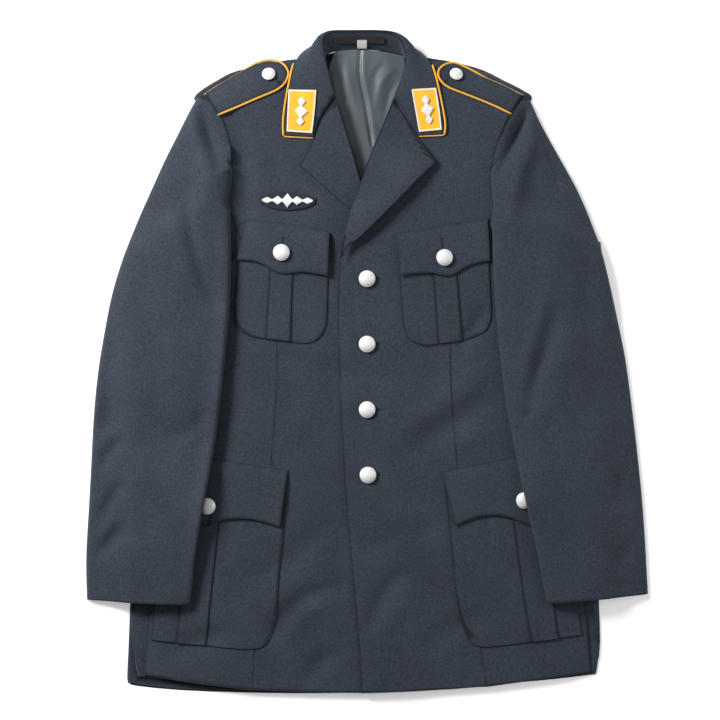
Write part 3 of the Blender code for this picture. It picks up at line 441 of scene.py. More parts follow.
LIFTS = {
    "lapel_left": [("rolled edge", ((86, 250), (60, 217), (22, 178), (-14, 143), (-40, 100)), 24, -9.0)],
    "lapel_right": [("rolled edge", ((-88, 240), (-50, 205), (-10, 175)), 13, -2.8)],
    "chest_flap_right": [("standing corner", ((-46, 158), (-45, 130), (-46, 98)), 18, -2.8)],
    "lower_flap_right": [("standing corner", ((-98, -140), (-100, -170), (-104, -200)), 14, -0.5)],
    "chest_flap_left": [("standing point", ((84, 112), (92, 100), (104, 108)), 14, -1.0)],
}
print(len(SLEEVE_RIGHT) + len(SLEEVE_LEFT) + len(BODY), "creases")

# %% [markdown]
# ## Pressing them in
# Each point of a piece looks for the nearest spot on a crease's line, and moves up or down by how near it
# is. A slow noise adds the unevenness of cloth that was handled. Near the floor the cloth is held, so it
# moves less. Pockets, flaps and buttons read the same table as the front, so they move with it.

# %% Press creases into a piece
BODY_PIECES = [n for n in solids if n.split("_")[0] in ("front", "side", "chest", "lower", "button")]


def rounded(path, steps=8):
    """A Catmull-Rom line through a few points"""
    p = np.array(path, float)
    p = np.vstack([2 * p[0] - p[1], p, 2 * p[-1] - p[-2]])
    t = np.linspace(0, 1, steps, endpoint=False)[:, None]
    bits = [0.5 * (2 * b + (c - a) * t + (2 * a - 5 * b + 4 * c - d) * t ** 2
                   + (3 * b - a - 3 * c + d) * t ** 3)
            for a, b, c, d in zip(p, p[1:], p[2:], p[3:])]
    return np.vstack([*bits, p[-2:-1]])


def pressed(points, creases):
    """How far each point rises, in mm, for points in mm"""
    rise = np.zeros(len(points))
    for _, path, width, depth in creases:
        line = rounded(path)
        nearest = np.full(len(points), 1e9)
        along = np.zeros(len(points))
        for k, (a, b) in enumerate(zip(line[:-1], line[1:])):
            share = np.clip(((points - a) @ (b - a)) / max((b - a) @ (b - a), 1e-9), 0, 1)
            gap = ((points - a - share[:, None] * (b - a)) ** 2).sum(1)
            closer = gap < nearest
            nearest[closer] = gap[closer]
            along[closer] = ((k + share) / (len(line) - 1))[closer]
        fade = np.sin(np.pi * np.clip(along, 0.0, 1.0)) ** 0.6
        rise -= depth * fade * np.exp(-nearest / width ** 2)
    return rise


def swell(points, size, seed):
    """Gentle unevenness of a cloth that was handled, from -1 to 1"""
    return np.array([noise.noise(Vector((x / size, y / size, seed))) for x, y in points])


body_tree = None
SEAM_REACH = 1.5     # a corner in a seam's gap takes the height of the cloth beside it


def body_height(points):
    """How high the jacket's front stands at each point, in mm, and 0 beside it"""
    global body_tree
    if body_tree is None:
        bm = bmesh.new()
        for name in ("front_right", "front_left", "side_right", "side_left"):
            bm.from_mesh(solids[name].data)
        body_tree = BVHTree.FromBMesh(bm)
    down = Vector((0, 0, -1))
    heights = np.zeros(len(points))
    for aside in (0.0, -SEAM_REACH, SEAM_REACH):
        hits = [body_tree.ray_cast(Vector(((x + aside) * MM, y * MM, 0.1)), down)[0] for x, y in points]
        heights = np.maximum(heights, [h.z / MM if h else 0.0 for h in hits])
    return heights


def ramp(values, low, high):
    share = np.clip((values - low) / (high - low), 0, 1)
    return share * share * (3 - 2 * share)


def body_rise(points):
    """How far the front rises at each point, in mm"""
    free = ramp(body_height(points), 3.5, 7.5)
    return (pressed(points, BODY) + 0.9 * swell(points, 80, 5.0) + 0.5 * swell(points, 34, 2.0)) * free


def crease(solid, mesh):
    """Presses into a piece the creases that cross it"""
    places = corners_of(mesh)
    flat = places[:, :2] / MM
    if solid.startswith("top_sleeve"):
        table = SLEEVE_RIGHT if solid.endswith("right") else SLEEVE_LEFT
        free = ramp(places[:, 2] / MM, 4, 12)
        rise = (pressed(flat, table) + 1.2 * swell(flat, 70, 3.0) + 0.6 * swell(flat, 30, 8.0)) * free
    elif solid in BODY_PIECES:
        rise = body_rise(flat)
    else:
        rise = np.zeros(len(flat))
    if solid in LIFTS:
        rise = rise + pressed(flat, LIFTS[solid])
    places[:, 2] += rise * MM
    set_corners(mesh, places)


print("the front stands", round(float(body_height([(0, 0)])[0]), 1), "mm high at its middle")

# %% [markdown]
# ## The panels
# Each row of the table names a piece, how finely it is divided, how far its edge rolls, and the angle of its
# weave, for the right one and the left one. Right and left are the wearer's, so the wearer's right sleeve
# is at the left of the picture.

# %% Every piece of wool
# piece: levels, roll in mm, weave angle of each
CUTS = {
    "back": (2, 0.5, 0), "front": (3, 0.5, 0, 0), "side": (3, 0.5, 4, -4), "lapel": (3, 0.5, 30, -30),
    "collar_stand": (2, 0.5, 90), "collar_fall": (3, 0.5, 70), "top_sleeve": (3, 0.5, 14, -14),
    "under_sleeve": (2, 0.5, 14, -14), "chest_pocket": (3, 0.45, 2, -2), "chest_flap": (3, 0.4, 8, -10),
    "lower_pocket": (3, 0.45, 3, -3), "lower_flap": (3, 0.4, 8, -8), "strap": (3, 0.4, 60, -60),
}
PANELS = {}
for piece, (level, roll, *turns) in CUTS.items():
    for side, turn in zip(("_right", "_left") if len(turns) == 2 else ("",), turns):
        PANELS[piece + side] = (level, roll, turn)
cloths = {}
for solid, (level, roll, turn) in PANELS.items():
    cloth = fine_copy(solid, solid + "_cloth", level, roll * MM)
    cover(cloth.data, wool_turned(turn))
    crease(solid, cloth.data)
    cloths[solid] = cloth
print(len(cloths), "pieces of wool,", sum(len(c.data.polygons) for c in cloths.values()), "faces")

# %% [markdown]
# ## Seams that meet
# Smoothing pulls a curved outline in by about a millimetre, more on the piece with fewer corners. At the
# armhole and at the neck that would leave an open slit. So the rim of the piece is moved back to the rim of
# its neighbour, with the cloth behind it following less and less, until only the groove of a seam is left.

# %% Move a rim to its neighbour's
SEWN_FROM = 110     # above this the sleeve is sewn in, and below it hangs free beside the body


def meet(moving, still, reach=4.5, groove=0.55, follow=16.0, zone=None):
    """Moves the rim of one mesh to that of another where they are within reach, in mm"""
    places = corners_of(moving)
    there = corners_of(still)[rim_corners(still)]
    still_tree = tree_of(there)
    rim = [k for k in rim_corners(moving) if zone is None or zone(places[k] / MM)]
    pulls = []
    for k in rim:
        place, _, gap = still_tree.find(places[k])
        pull = np.array(place) - places[k]
        pulls.append(pull if gap < reach * MM else np.zeros(3))
    pulls = np.array(pulls)
    rim_tree = tree_of(places[rim])
    calm = []
    for k in rim:
        close = [n for _, n, _ in rim_tree.find_n(places[k], 24)]
        pull = pulls[close].mean(0)
        size = np.linalg.norm(pull)
        calm.append(pull * max(0.0, 1 - groove * MM / max(size, 1e-9)))
    moved = places.copy()
    low, high = places[rim].min(0) - follow * MM, places[rim].max(0) + follow * MM
    for k in np.nonzero(((places > low) & (places < high)).all(1))[0]:
        _, n, gap = rim_tree.find(places[k])
        if gap < follow * MM:
            moved[k] += calm[n] * (1 - gap / (follow * MM)) ** 2
    set_corners(moving, moved)
    return max(np.linalg.norm(c) for c in calm) / MM


meet(cloths["collar_stand"].data, cloths["collar_fall"].data, 4.5, 0.1, 9.0)
for side in ("right", "left"):
    shift = meet(cloths["top_sleeve_" + side].data, cloths["front_" + side].data, groove=0.1,
                 zone=lambda p: p[1] > SEWN_FROM)
    print("armhole", side, "closed by up to", round(shift, 2), "mm")
    shift = meet(cloths["side_" + side].data, cloths["front_" + side].data, 5.0, 0.1, 14.0,
                 zone=lambda p: abs(p[0]) < 155)
    print("long seam", side, "closed by up to", round(shift, 2), "mm")
    shift = meet(cloths["under_sleeve_" + side].data, cloths["top_sleeve_" + side].data, 14.0, 0.2, 22.0,
                 zone=lambda p: abs(p[0]) < 224 - 0.1 * p[1])
    print("inner sleeve seam", side, "closed by up to", round(shift, 2), "mm")

# %% [markdown]
# ## Satin, felt, metal and thread
# The lining is a blue-grey satin with a sheen along its folds. The tabs are yellow felt and the piping is a
# yellow cord, and the strip and the label are plain tapes. The buttons are pale matt metal with a pebbled
# face, so they take their bump from a cell pattern rather than from a noise.

# %% The other finishes
def satin(name):
    recipe = Recipe(name)
    where = recipe.place()
    drawn = recipe.node("ShaderNodeMapping", {"Vector": where, "Scale": (3.0, 0.4, 1.0)})
    threads = recipe.noise(drawn, 900)
    shade = recipe.noise(where, 26, 2.0)
    hue = recipe.blend((threads * 0.35 + shade * 0.65).clamp(), (0.03, 0.04, 0.048), (0.105, 0.13, 0.148))
    return recipe.finish(Base_Color=hue, Roughness=threads * 0.12 + 0.4, Specular_IOR_Level=0.45,
                         Sheen_Weight=0.25, Normal=recipe.bump(threads, 0.03 * MM, 0.4))


def felt(name, low, high, weave=1300.0, rough=0.85, raised=0.1):
    recipe = Recipe(name)
    where = recipe.place()
    fibres = recipe.noise(where, weave, 3.0, 0.65)
    shade = recipe.noise(where, 90, 2.0)
    hue = recipe.blend((fibres * 0.6 + shade * 0.5 - 0.05).clamp(), low, high)
    return recipe.finish(Base_Color=hue, Roughness=rough, Specular_IOR_Level=0.25, Sheen_Weight=0.12,
                         Normal=recipe.bump(fibres, raised * MM, 0.6))


def corded(name, low, high):
    """A round cord whose cover shows fine slanting threads"""
    recipe = Recipe(name)
    where = recipe.place()
    axes = [recipe.node("ShaderNodeSeparateXYZ", {0: where}, output=k) for k in range(3)]
    turns = ((axes[0] + axes[1] * 0.55 + axes[2] * 0.4) * (2 * math.pi / (0.75 * MM))).sine() * 0.5 + 0.5
    fibres = recipe.noise(where, 1600, 2.0)
    hue = recipe.blend((turns * 0.5 + fibres * 0.5).clamp(), low, high)
    return recipe.finish(Base_Color=hue, Roughness=0.75, Specular_IOR_Level=0.3, Sheen_Weight=0.12,
                         Normal=recipe.bump(turns + fibres * 0.4, 0.08 * MM, 0.7))


def pebbled(name):
    recipe = Recipe(name)
    where = recipe.place()
    cells = recipe.node("ShaderNodeTexVoronoi", {"Vector": where, "Scale": 1500.0}, feature="SMOOTH_F1")
    grime = recipe.noise(where, 420, 3.0)
    # Painted shade: the lip is blended towards a dark grey, for the soft shadow round the button.
    lip = recipe.node("ShaderNodeAttribute", output=2, attribute_name="lip")
    hue = recipe.blend(lip * 0.85, recipe.blend((cells * 0.9 + grime * 0.35).clamp(), (0.97, 0.97, 0.95),
                                                (0.72, 0.72, 0.72)), (0.16, 0.17, 0.18))
    return recipe.finish(Base_Color=hue, Metallic=0.25, Roughness=grime * 0.2 + 0.45,
                         Normal=recipe.bump(1 - cells, 0.09 * MM, 0.8))


FINISH = {
    "lining": satin("lining_satin"),
    "tab_yellow": felt("tab_felt", (0.78, 0.36, 0.02), (1.0, 0.56, 0.05)),
    "piping_yellow": corded("yellow_cord", (0.62, 0.27, 0.02), (0.98, 0.52, 0.06)),
    "white_thread": felt("white_thread", (0.62, 0.62, 0.61), (0.95, 0.95, 0.94), 2200.0, 0.6),
    "badge_cloth": felt("badge_felt", (0.009, 0.012, 0.017), (0.03, 0.038, 0.052), 900.0, 0.9),
    "hanger_cloth": felt("hanger_tape", (0.012, 0.010, 0.009), (0.042, 0.036, 0.032), 1200.0, 0.8),
    "label_cloth": felt("label_tape", (0.75, 0.75, 0.73), (0.95, 0.95, 0.93), 1600.0, 0.7),
    "silver": pebbled("pebbled_silver"),
    "dark_thread": felt("dark_thread", (0.006, 0.008, 0.012), (0.02, 0.026, 0.036), 2600.0, 0.7),
}
print(len(FINISH), "more finishes")

# %% [markdown]
# ## Lining, tapes, tabs and cords
# These come from their solids as the panels do. The lining has the most creases, because nothing presses
# it: a pleat down its middle and pulls that fan out from it.

# %% Smaller soft pieces
LINING = [
    ("pleat", ((-7, 376), (-9, 356), (-8, 338), (-2, 310), (4, 274), (7, 254)), 2.2, 4.0),
    ("pleat edge", ((-2, 376), (-4, 352), (-3, 336), (3, 308), (9, 272)), 5, -1.2),
    ("fold", ((22, 358), (14, 350), (10, 344), (6, 330)), 4, 1.4),
    ("ridge", ((34, 352), (22, 340), (14, 322), (11, 300)), 5, -1.6),
    ("fold", ((36, 338), (26, 318), (20, 290)), 4, 1.3),
    ("ridge", ((-24, 362), (-22, 340), (-15, 312), (-8, 284)), 5, -1.2),
    ("fold", ((-32, 356), (-31, 332), (-24, 300), (-12, 262)), 5, 1.0),
    ("ridge", ((-38, 350), (-38, 322), (-32, 296)), 4, -0.9),
]
# solid: slot, levels, roll in mm
SOFT = {
    "lining_back": ("lining", 3, 0.3), "hanger_strip": ("hanger_cloth", 2, 0.25),
    "neck_label": ("label_cloth", 2, 0.2), "breast_badge": ("badge_cloth", 3, 0.35),
    "collar_tab_right": ("tab_yellow", 3, 0.35), "collar_tab_left": ("tab_yellow", 3, 0.35),
}
CORDS = ("strap_piping_right", "strap_piping_left", "collar_piping_right", "collar_piping_left")
NECK_TUCK = 3.4     # the lining's top goes under the foot of the stand
LINING_LOW, LINING_LIFT = -2.3, 1.9     # its pulls stay above the back
trims = {}
for solid, (slot, level, roll) in SOFT.items():
    trims[solid] = (fine_copy(solid, solid + "_cloth", level, roll * MM), slot)
lining = trims["lining_back"][0]
places = corners_of(lining.data)
pull = pressed(places[:, :2] / MM, LINING) * ramp(places[:, 2] / MM, 1.95, 2.6)
places[:, 2] += (np.maximum(pull, LINING_LOW) + LINING_LIFT * ramp(places[:, 2] / MM, 1.95, 2.6)) * MM
places[:, 1] += NECK_TUCK * MM * ramp(places[:, 1] / MM, 350, 369)
set_corners(lining.data, places)
CORD_SWELL = 0.13
REAR_TUCK, REAR_DROP = 2.2, 1.3
# The strap's rear piping rolls away under its edge: where that starts and ends, and its middle line
STRAP_LINES = {
    "strap_piping_right": ((-192, 312), (-100, 347)), "strap_piping_left": ((190, 312), (96, 347)),
}
for solid in CORDS:
    cord = fine_copy(solid, solid + "_cord", 2, 0.0)
    if solid in STRAP_LINES:
        places = corners_of(cord.data)
        start, end = (np.array(p) * MM for p in STRAP_LINES[solid])
        way = (end - start) / np.linalg.norm(end - start)
        aside = np.array([-way[1], way[0]]) * (1 if way[0] > 0 else -1)
        reach = places[:, :2] - start
        rear = ramp(reach @ aside / MM, 4, 9) * (1 - ramp(reach @ way / MM, 48, 76))
        places[:, :2] -= rear[:, None] * aside * REAR_TUCK * MM
        places[:, 2] -= rear * REAR_DROP * MM
        set_corners(cord.data, places)
    for corner in cord.data.vertices:
        corner.co += corner.normal * CORD_SWELL * MM
    trims[solid] = (cord, "piping_yellow")
for trim, slot in trims.values():
    cover(trim.data, FINISH[slot])
print(len(trims), "trims")

# %% [markdown]
# ## Buttons
# A button is turned, so half of its outline is enough: a shank, a sharp lip, a narrow ring and a low dome.
# Its seat is measured from the solid: the middle of its corners, and the direction in which they spread
# least, which is the button's axis. So a button on a slope leans as its solid does.

# %% Turn the buttons
BUTTON = [
    (0.0, 0.1), (2.3, 0.1), (2.4, 1.5), (6.0, 1.75), (9.3, 1.95), (9.9, 2.15), (10.15, 2.5), (10.1, 2.9),
    (9.75, 3.15), (9.4, 3.1), (9.15, 3.2), (8.7, 3.75), (7.8, 4.45), (6.4, 5.2), (4.6, 5.82), (2.4, 6.2),
    (0.0, 6.32),
]
BUTTON_HEIGHT = 6.4
SPOKES = 48
LIP_SHADE_RADII = (9.55, 10.5)     # the lip is painted darker than the pebbled face, as painted shade round the rim


def seat(solid):
    """Lowest point on a button's axis, the axis, and the button's height in mm"""
    bm = squares(solid)
    places = np.array([tuple(corner.co) for corner in bm.verts])
    bm.free()
    middle = places.mean(0)
    _, _, spread = np.linalg.svd(places - middle)
    axis = spread[2] if spread[2][2] > 0 else -spread[2]
    heights = (places - middle) @ axis
    return Vector(middle + axis * heights.min()), Vector(axis), (heights.max() - heights.min()) / MM


def turned_button(solid):
    base, axis, tall = seat(solid)
    scale = tall / BUTTON_HEIGHT
    turn = axis.to_track_quat("Z", "Y")
    bm = bmesh.new()
    rings = []
    for radius, height in BUTTON:
        if radius == 0.0:
            rings.append([bm.verts.new(base + turn @ Vector((0, 0, height * scale)) * MM)])
            continue
        spin = [2 * math.pi * k / SPOKES for k in range(SPOKES)]
        rings.append([bm.verts.new(base + turn @ Vector((radius * math.cos(t), radius * math.sin(t), height))
                                   * scale * MM) for t in spin])
    for low, high in zip(rings, rings[1:]):
        for k in range(SPOKES):
            n = (k + 1) % SPOKES
            if len(low) == 1:
                bm.faces.new((low[0], high[n], high[k]))
            elif len(high) == 1:
                bm.faces.new((low[k], low[n], high[0]))
            else:
                bm.faces.new((low[k], low[n], high[n], high[k]))
    mesh = bpy.data.meshes.new(solid + "_turned")
    bm.to_mesh(mesh)
    bm.free()
    mesh.shade_smooth()
    mesh.materials.append(FINISH["silver"])
    # The ring of the lip where painted shade goes.
    lip = mesh.attributes.new("lip", "FLOAT", "POINT")
    out = [(Vector(v.co) - base).cross(axis).length / (scale * MM) for v in mesh.vertices]
    lip.data.foreach_set("value", [1.0 if LIP_SHADE_RADII[0] < r < LIP_SHADE_RADII[1] else 0.0 for r in out])
    button = placed(solid + "_turned", mesh)
    smooth = button.modifiers.new("smooth", "SUBSURF")
    smooth.levels = smooth.render_levels = 1
    return settled(button, solid + "_turned"), base


buttons = {}
for solid in sorted(n for n in solids if n.startswith("button_")):
    button, base = turned_button(solid)
    if solid.split("_")[1] != "strap":
        rise = body_rise(np.array([[base.x / MM, base.y / MM]]))
        button.data.transform(Matrix.Translation((0, 0, float(rise[0]) * MM)))
    buttons[solid] = button
print(len(buttons), "buttons")

# %% [markdown]
# ## Rows of threads
# Stitches, the bound edges of the tabs, worked buttonholes and the embroidered motifs are all one thing:
# threads of some length, laid along a line or across it. So one Geometry Nodes tree makes them all. It turns
# a line into evenly spaced points, lays a blunt thread on each, and turns it a little at random. Each line
# carries its own thread length at each corner, which is how a lozenge gets its shape.

# %% A tree that lays threads
def threads_tree():
    tree = bpy.data.node_groups.new("rows_of_threads", "GeometryNodeTree")
    for name, kind in (("Line", "NodeSocketGeometry"), ("Pitch", "NodeSocketFloat"),
                       ("Turn", "NodeSocketFloat"), ("Thickness", "NodeSocketFloat"),
                       ("Unevenness", "NodeSocketFloat"), ("Seed", "NodeSocketInt"),
                       ("Thread", "NodeSocketMaterial")):
        tree.interface.new_socket(name, in_out="INPUT", socket_type=kind)
    tree.interface.new_socket("Threads", in_out="OUTPUT", socket_type="NodeSocketGeometry")

    def add(kind, inputs=(), **settings):
        made = tree.nodes.new(kind)
        for key, value in settings.items():
            setattr(made, key, value)
        for key, value in dict(inputs).items():
            if isinstance(value, bpy.types.NodeSocket):
                tree.links.new(value, made.inputs[key])
            else:
                made.inputs[key].default_value = value
        return made.outputs

    def maths(operation, *terms):
        return add("ShaderNodeMath", enumerate(terms), operation=operation)[0]

    given = add("NodeGroupInput")
    line = add("GeometryNodeMeshToCurve", {"Mesh": given["Line"]})["Curve"]
    line = add("GeometryNodeResampleCurve", {"Curve": line, "Length": given["Pitch"]},
               mode="LENGTH")["Curve"]
    way = add("ShaderNodeSeparateXYZ", {0: add("GeometryNodeInputTangent")[0]})
    wobble = add("FunctionNodeRandomValue", {2: maths("MULTIPLY", given["Unevenness"], -1.0),
                                             3: given["Unevenness"], "Seed": given["Seed"]})[1]
    yaw = maths("ADD", maths("ARCTAN2", way[1], way[0]), maths("ADD", given["Turn"], wobble))
    lean = maths("MULTIPLY", maths("COSINE", given["Turn"]), -1.0)
    pitch = maths("MULTIPLY", maths("ARCSINE", way[2]), lean)
    turn = add("FunctionNodeEulerToRotation", {0: add("ShaderNodeCombineXYZ", {1: pitch, 2: yaw})[0]})[0]
    reach = add("GeometryNodeInputNamedAttribute", {"Name": "length"}, data_type="FLOAT")[0]
    size = add("ShaderNodeCombineXYZ", {0: maths("MULTIPLY", reach, 0.5), 1: given["Thickness"],
                                        2: given["Thickness"]})[0]
    ball = add("GeometryNodeMeshUVSphere", {"Segments": 6, "Rings": 5, "Radius": 1.0})["Mesh"]
    spot = add("ShaderNodeSeparateXYZ", {0: add("GeometryNodeInputPosition")[0]})
    blunt = maths("MULTIPLY", maths("SIGN", spot[2]), maths("POWER", maths("ABSOLUTE", spot[2]), BLUNT))
    lying = add("ShaderNodeCombineXYZ", {0: blunt, 1: spot[1], 2: maths("MULTIPLY", spot[0], -1.0)})[0]
    ball = add("GeometryNodeSetPosition", {"Geometry": ball, "Position": lying})[0]
    laid = add("GeometryNodeInstanceOnPoints", {"Points": line, "Instance": ball, "Rotation": turn,
                                                "Scale": size})[0]
    made = add("GeometryNodeRealizeInstances", {"Geometry": laid})[0]
    made = add("GeometryNodeSetShadeSmooth", {"Geometry": made})[0]
    made = add("GeometryNodeSetMaterial", {"Geometry": made, "Material": given["Thread"]})[0]
    add("NodeGroupOutput", {"Threads": made})
    return tree


BLUNT = 0.45     # below 1, a thread keeps its thickness almost to its ends
threads = threads_tree()
print(len(threads.nodes), "nodes lay the threads")

# %% [markdown]
# ## Lines to sew along
# A patch's own solid says where its edge runs. Its top edge is where a narrow rim face meets a broad face
# that looks up. Walking those edges gives a closed line, which is then moved inward by the tailor's margin
# and dropped onto the finished cloth.

# %% Edges, margins and the way down to the cloth
def edge_line(solid):
    """The top edge of a patch, anticlockwise, in mm"""
    bm = squares(solid)
    bm.normal_update()
    rim = bm.faces.layers.float["rim"]
    ways = {}
    for edge in bm.edges:
        if len(edge.link_faces) == 2:
            faces = sorted(edge.link_faces, key=lambda f: f[rim])
            if faces[0][rim] < 0.5 < faces[1][rim] and faces[0].normal.z > 0.3:
                a, b = (tuple(v.co / MM) for v in edge.verts)
                ways.setdefault(a, []).append(b)
                ways.setdefault(b, []).append(a)
    bm.free()
    loops = []
    while ways:
        walk = [next(iter(ways))]
        while walk[-1] in ways:
            after = [n for n in ways.pop(walk[-1]) if n in ways]
            if not after:
                break
            walk.append(after[0])
        loops.append(np.array(walk))
    line = max(loops, key=len)
    x, y = line[:, 0], line[:, 1]
    area = (x * np.roll(y, -1) - np.roll(x, -1) * y).sum()
    return line if area > 0 else line[::-1]


def moved_in(line, margin):
    """The closed line moved inward, in plan"""
    way = np.roll(line, -1, 0)[:, :2] - line[:, :2]
    way /= np.maximum(np.linalg.norm(way, axis=1, keepdims=True), 1e-6)
    inward = np.stack([-way[:, 1], way[:, 0]], 1)
    before = np.roll(inward, 1, 0)
    both = (inward + before) / np.maximum(1 + (inward * before).sum(1, keepdims=True), 0.4)
    return line[:, :2] + both * margin


def stretch(line, start=None, end=None):
    """The closed line, or the part of it from near one point to near another"""
    if start is None:
        return np.vstack([line, line[:1]])
    first = np.linalg.norm(line - start, axis=1).argmin()
    line = np.roll(line, -first, 0)
    last = np.linalg.norm(line - end, axis=1).argmin()
    return line[:last + 1]


def dropped(line, cloth, lift):
    """Points every millimetre along a plan line, at the cloth's height"""
    steps = np.linalg.norm(np.diff(line, axis=0), axis=1)
    far = np.concatenate([[0], np.cumsum(steps)])
    at = np.linspace(0, far[-1], max(int(far[-1]), 2) + 1)
    plan = np.stack([np.interp(at, far, line[:, k]) for k in (0, 1)], 1)
    bm = bmesh.new()
    for piece in cloth:
        bm.from_mesh(piece.data)
    tree = BVHTree.FromBMesh(bm)
    bm.free()
    kept = []
    for x, y in plan:
        hit = tree.ray_cast(Vector((x * MM, y * MM, 0.1)), Vector((0, 0, -1)))[0]
        if hit:
            kept.append((x * MM, y * MM, hit.z + lift * MM))
    return kept


def sew(name, lines, pitch, turn, thickness, finish, uneven=0.05, seed=5):
    """Lays threads on lines of (points in metres, thread lengths in mm)"""
    mesh = bpy.data.meshes.new(name)
    places, edges, lengths = [], [], []
    for points, reach in lines:
        first = len(places)
        places += [tuple(p) for p in points]
        edges += [(first + k, first + k + 1) for k in range(len(points) - 1)]
        lengths += [r * MM for r in (reach if hasattr(reach, "__len__") else [reach] * len(points))]
    mesh.from_pydata(places, edges, [])
    layer = mesh.attributes.new("length", "FLOAT", "POINT")
    layer.data.foreach_set("value", lengths)
    obj = placed(name, mesh)
    modifier = obj.modifiers.new("threads", "NODES")
    modifier.node_group = threads
    given = {"Pitch": pitch * MM, "Turn": turn, "Thickness": thickness * MM, "Unevenness": uneven,
             "Seed": seed, "Thread": FINISH[finish]}
    for item in threads.interface.items_tree:
        if item.in_out == "INPUT" and item.name in given:
            modifier[item.identifier] = given[item.name]
    settled(obj, name)
    print(name, len(obj.data.polygons), "faces")
    return obj


# %% [markdown]
# ## Edge stitching and buttonholes
# Pockets, flaps and shoulder straps are stitched two millimetres inside their edge in a thread darker than
# the cloth, which shows as a faint second line and also paints in some shade along the edge. A pocket is sewn
# down round its sides and foot and a flap along its free edge. A buttonhole is a slit with threads worked
# across both of its lips.

# %% Stitch the patches
ALONG, ACROSS = 0.0, math.pi / 2
MARGIN = 2.2
# solid, start and end of its stitching in mm (a whole turn where there is none)
STITCHED = [
    ("chest_pocket_right", (-145, 100), (-50, 100)), ("chest_pocket_left", (46, 100), (140, 108)),
    ("lower_pocket_right", (-190, -190), (-96, -190)), ("lower_pocket_left", (100, -190), (190, -190)),
]
STITCHED += [(solid + side, None, None) for solid in ("chest_flap", "lower_flap", "strap")
             for side in ("_right", "_left")]
lines = []
for solid, start, end in STITCHED:
    line = stretch(moved_in(edge_line(solid), MARGIN), start, end)
    lines.append((dropped(line, [cloths[solid]], 0.02), 2.3))
# The thread is darker than the cloth, which also paints shade along the edge.
extras = {"edge_stitches": (sew("edge_stitches", lines, 3.0, ALONG, 0.24, "dark_thread"), "wool")}

# %% [markdown]
# A button hides most of its hole, so only a short end of each slit shows. The buttons of the lower flaps
# lie half under the sleeves, and no hole shows beside them in the photograph, so they get none.

# %% Work the buttonholes
# patch that carries it, where its slit starts and ends in mm
HOLES = [("front_left", (11, y), (15.5, y)) for y in (99, 21, -57, -135)]
HOLES += [("chest_flap_right", (-100.4, 149.6), (-100.4, 140)), ("chest_flap_left", (88.6, 147), (89.5, 135))]
lips = []
for solid, start, end in HOLES:
    lips.append((dropped(np.array([start, end], float), [cloths[solid]], 0.05), 2.6))
extras["buttonhole_lips"] = (sew("buttonhole_lips", lips, 0.5, ACROSS, 0.22, "dark_thread"), "wool")

# %% [markdown]
# ## Collar tabs and badge
# Each felt tab is bound all round with pale thread laid across its edge. The motifs are a generic string of
# lozenges. Each is a low pad of its solid's outline with satin stitches across it, closely set, so that the
# light breaks up along the threads.

# %% Bind the tabs and embroider the lozenges
lines = []
for solid in ("collar_tab_right", "collar_tab_left"):
    line = stretch(moved_in(edge_line(solid), 0.75))
    lines.append((dropped(line, [trims[solid][0]], 0.0), 1.9))
extras["tab_binding"] = (sew("tab_binding", lines, 0.42, ACROSS, 0.26, "white_thread"), "white_thread")

TAB_STRING = [(0.0, 0.8), (0.14, 4.5), (0.29, 1.0), (0.5, 7.5), (0.71, 1.0), (0.86, 4.5), (1.0, 0.8)]
BADGE_STRING = [(0.0, 0.8), (0.1, 3.6), (0.2, 1.0), (0.31, 5.0), (0.4, 1.1), (0.5, 8.0), (0.6, 1.1),
                (0.69, 5.0), (0.8, 1.0), (0.9, 3.6), (1.0, 0.8)]
# motif solid: start, end and its half widths along the way
MOTIFS = {
    "tab_motif_right": ((-77.5, 314), (-79.5, 281), TAB_STRING),
    "tab_motif_left": ((68.5, 316), (74.5, 283), TAB_STRING),
    "badge_motif": ((-125, 192.5), (-65, 191.5), BADGE_STRING),
}
lines = []
for solid, (start, end, string) in MOTIFS.items():
    pad = fine_copy(solid, solid + "_pad", 2, 0.25 * MM)
    cover(pad.data, FINISH["white_thread"])
    trims[solid] = (pad, "white_thread")
    spots = dropped(np.array([start, end], float), [pad], 0.02)
    at = np.linspace(0, 1, len(spots))
    lines.append((spots, 2 * np.interp(at, *zip(*string)) + 0.5))
extras["embroidery"] = (sew("embroidery", lines, 0.36, ACROSS, 0.22, "white_thread", 0.03), "white_thread")

# %% [markdown]
# ## The collar's last piping
# The solid of the piping ends at the collar's corner. A thinner cord goes on from there, turns under the
# tab and runs to the notch of the lapel. It follows the cloth below it, within a narrow range of heights.

# %% Piping under the tabs
PIPE_RADIUS = 0.95
PIPE_LOW, PIPE_HIGH = 16.0, 17.4
UNDER_TABS = {
    "right": [(-99.4, 270.5), (-98.6, 268.6), (-96, 267.7), (-82, 266.9), (-64.5, 266.2)],
    "left": [(92.2, 272), (91.4, 270), (89, 269.3), (76, 268.6), (62.0, 268.2)],
}
for side, plan in UNDER_TABS.items():
    pipe = bpy.data.curves.new("pipe", "CURVE")
    pipe.dimensions, pipe.bevel_depth, pipe.bevel_resolution = "3D", PIPE_RADIUS * MM, 4
    pipe.use_fill_caps = True
    below = [cloths["collar_fall"], cloths["front_" + side], cloths["lapel_" + side]]
    spots = dropped(rounded(plan), below, 0)
    run = pipe.splines.new("POLY")
    run.points.add(len(spots) - 1)
    for point, (x, y, z) in zip(run.points, spots):
        point.co = (x, y, min(max(z, PIPE_LOW * MM), PIPE_HIGH * MM), 1)
    raw = placed("pipe", pipe)
    bpy.context.view_layer.update()
    graph = bpy.context.evaluated_depsgraph_get()
    mesh = bpy.data.meshes.new_from_object(raw.evaluated_get(graph))
    bpy.data.objects.remove(raw)
    mesh.shade_smooth()
    cover(mesh, FINISH["piping_yellow"])
    piece = placed("collar_piping_turn_" + side, mesh)
    extras[piece.name] = (piece, "piping_yellow")
print(len(extras), "extra pieces")

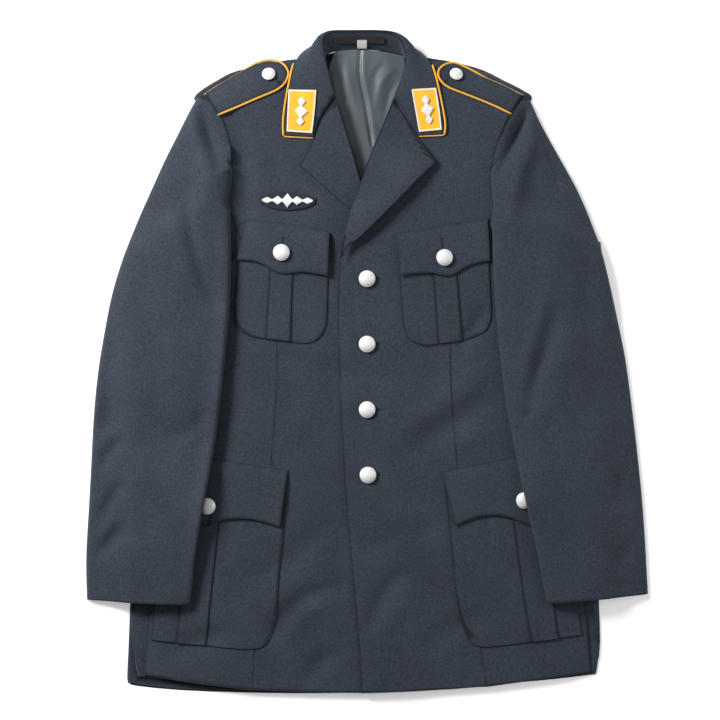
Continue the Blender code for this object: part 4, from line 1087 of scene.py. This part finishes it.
# %% [markdown]
# ## The pieces take the solids' place
# Each solid is hidden, and the piece made from it moves with the jacket's
# one body.

# %% Hide the solids and attach the pieces
for solid, cloth in cloths.items():
    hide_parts(solid)
    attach(cloth, "root")

for solid, (trim, slot) in trims.items():
    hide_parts(solid)
    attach(trim, "root")
for piece, slot in extras.values():
    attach(piece, "root")
for solid, button in buttons.items():
    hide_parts(solid)
    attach(button, "root")

# %% [markdown]
# ## What was cut flat
# The table gives each sheet of cloth the rectangle that it fills when laid out, in millimetres, and its own
# area in square centimetres, which is half of its solid's surface. The collar, the tape and the label lean or
# bend, so their rectangles are unrolled ones. Only what is built is listed, without seam allowance. The loop
# after it only looks up each piece and what it rests on, and does nothing with them.

FLAT = {
    "back": (532, 758, 3422.6), "front_left": (219, 756, 1079.4), "front_right": (223, 756, 1103.5),
    "side_left": (166, 573, 757), "side_right": (158, 581, 732.1), "lapel_left": (112, 190, 80.7),
    "lapel_right": (99, 192, 59.2), "collar_stand": (180, 24, 32), "collar_fall": (400, 48, 124.6),
    "top_sleeve_left": (188, 606, 807.4), "top_sleeve_right": (176, 609, 814.5),
    "under_sleeve_left": (181, 552, 708), "under_sleeve_right": (168, 558, 714.2),
    "chest_pocket_right": (111, 134, 132.2), "chest_pocket_left": (111, 139, 133.3),
    "chest_flap_right": (110, 66, 57.6), "chest_flap_left": (112, 68, 59.6),
    "lower_pocket_right": (161, 216, 303.1), "lower_pocket_left": (164, 219, 299.8),
    "lower_flap_right": (151, 89, 105), "lower_flap_left": (156, 94, 108), "strap_right": (97, 63, 35.2),
    "strap_left": (97, 58, 28.6), "lining_back": (93, 180, 147), "hanger_strip": (58, 12, 5.7),
    "neck_label": (12, 14, 1.5), "breast_badge": (66, 22, 12), "collar_tab_right": (35, 51, 16.7),
    "collar_tab_left": (36, 51, 15),
}
RESTS = {"back": "floor", "lining_back": "back"}
RESTS.update({n: "back" for n in FLAT if n.split("_")[0] in ("front", "side", "under")})
for solid, (width, length, area) in FLAT.items():
    piece = cloths[solid] if solid in cloths else trims[solid][0]
    below = RESTS.get(solid)
    [below] if below in solids else []
print(len(FLAT), "sheets")

# %% [markdown]
# ## The floor
# A broad white floor catches the soft shadow. It lies a hair below the jacket, so that the two never share
# a plane.

# %% Floor
HALF = 6.0
FLOOR_DROP = 0.0002
floor_mesh = bpy.data.meshes.new("floor")
floor_mesh.from_pydata([(-HALF, -HALF, 0), (HALF, -HALF, 0), (HALF, HALF, 0), (-HALF, HALF, 0)], [],
                       [(0, 1, 2, 3)])
floor = placed("floor", floor_mesh)
floor_finish = Recipe("floor")
floor_mesh.materials.append(floor_finish.finish(Base_Color=(0.9, 0.9, 0.9, 1), Roughness=0.9,
                                                Emission_Color=(1, 1, 1, 1), Emission_Strength=0.3))
floor_mesh.transform(Matrix.Translation((0, 0, -FLOOR_DROP)))
print("floor of", 2 * HALF, "m")
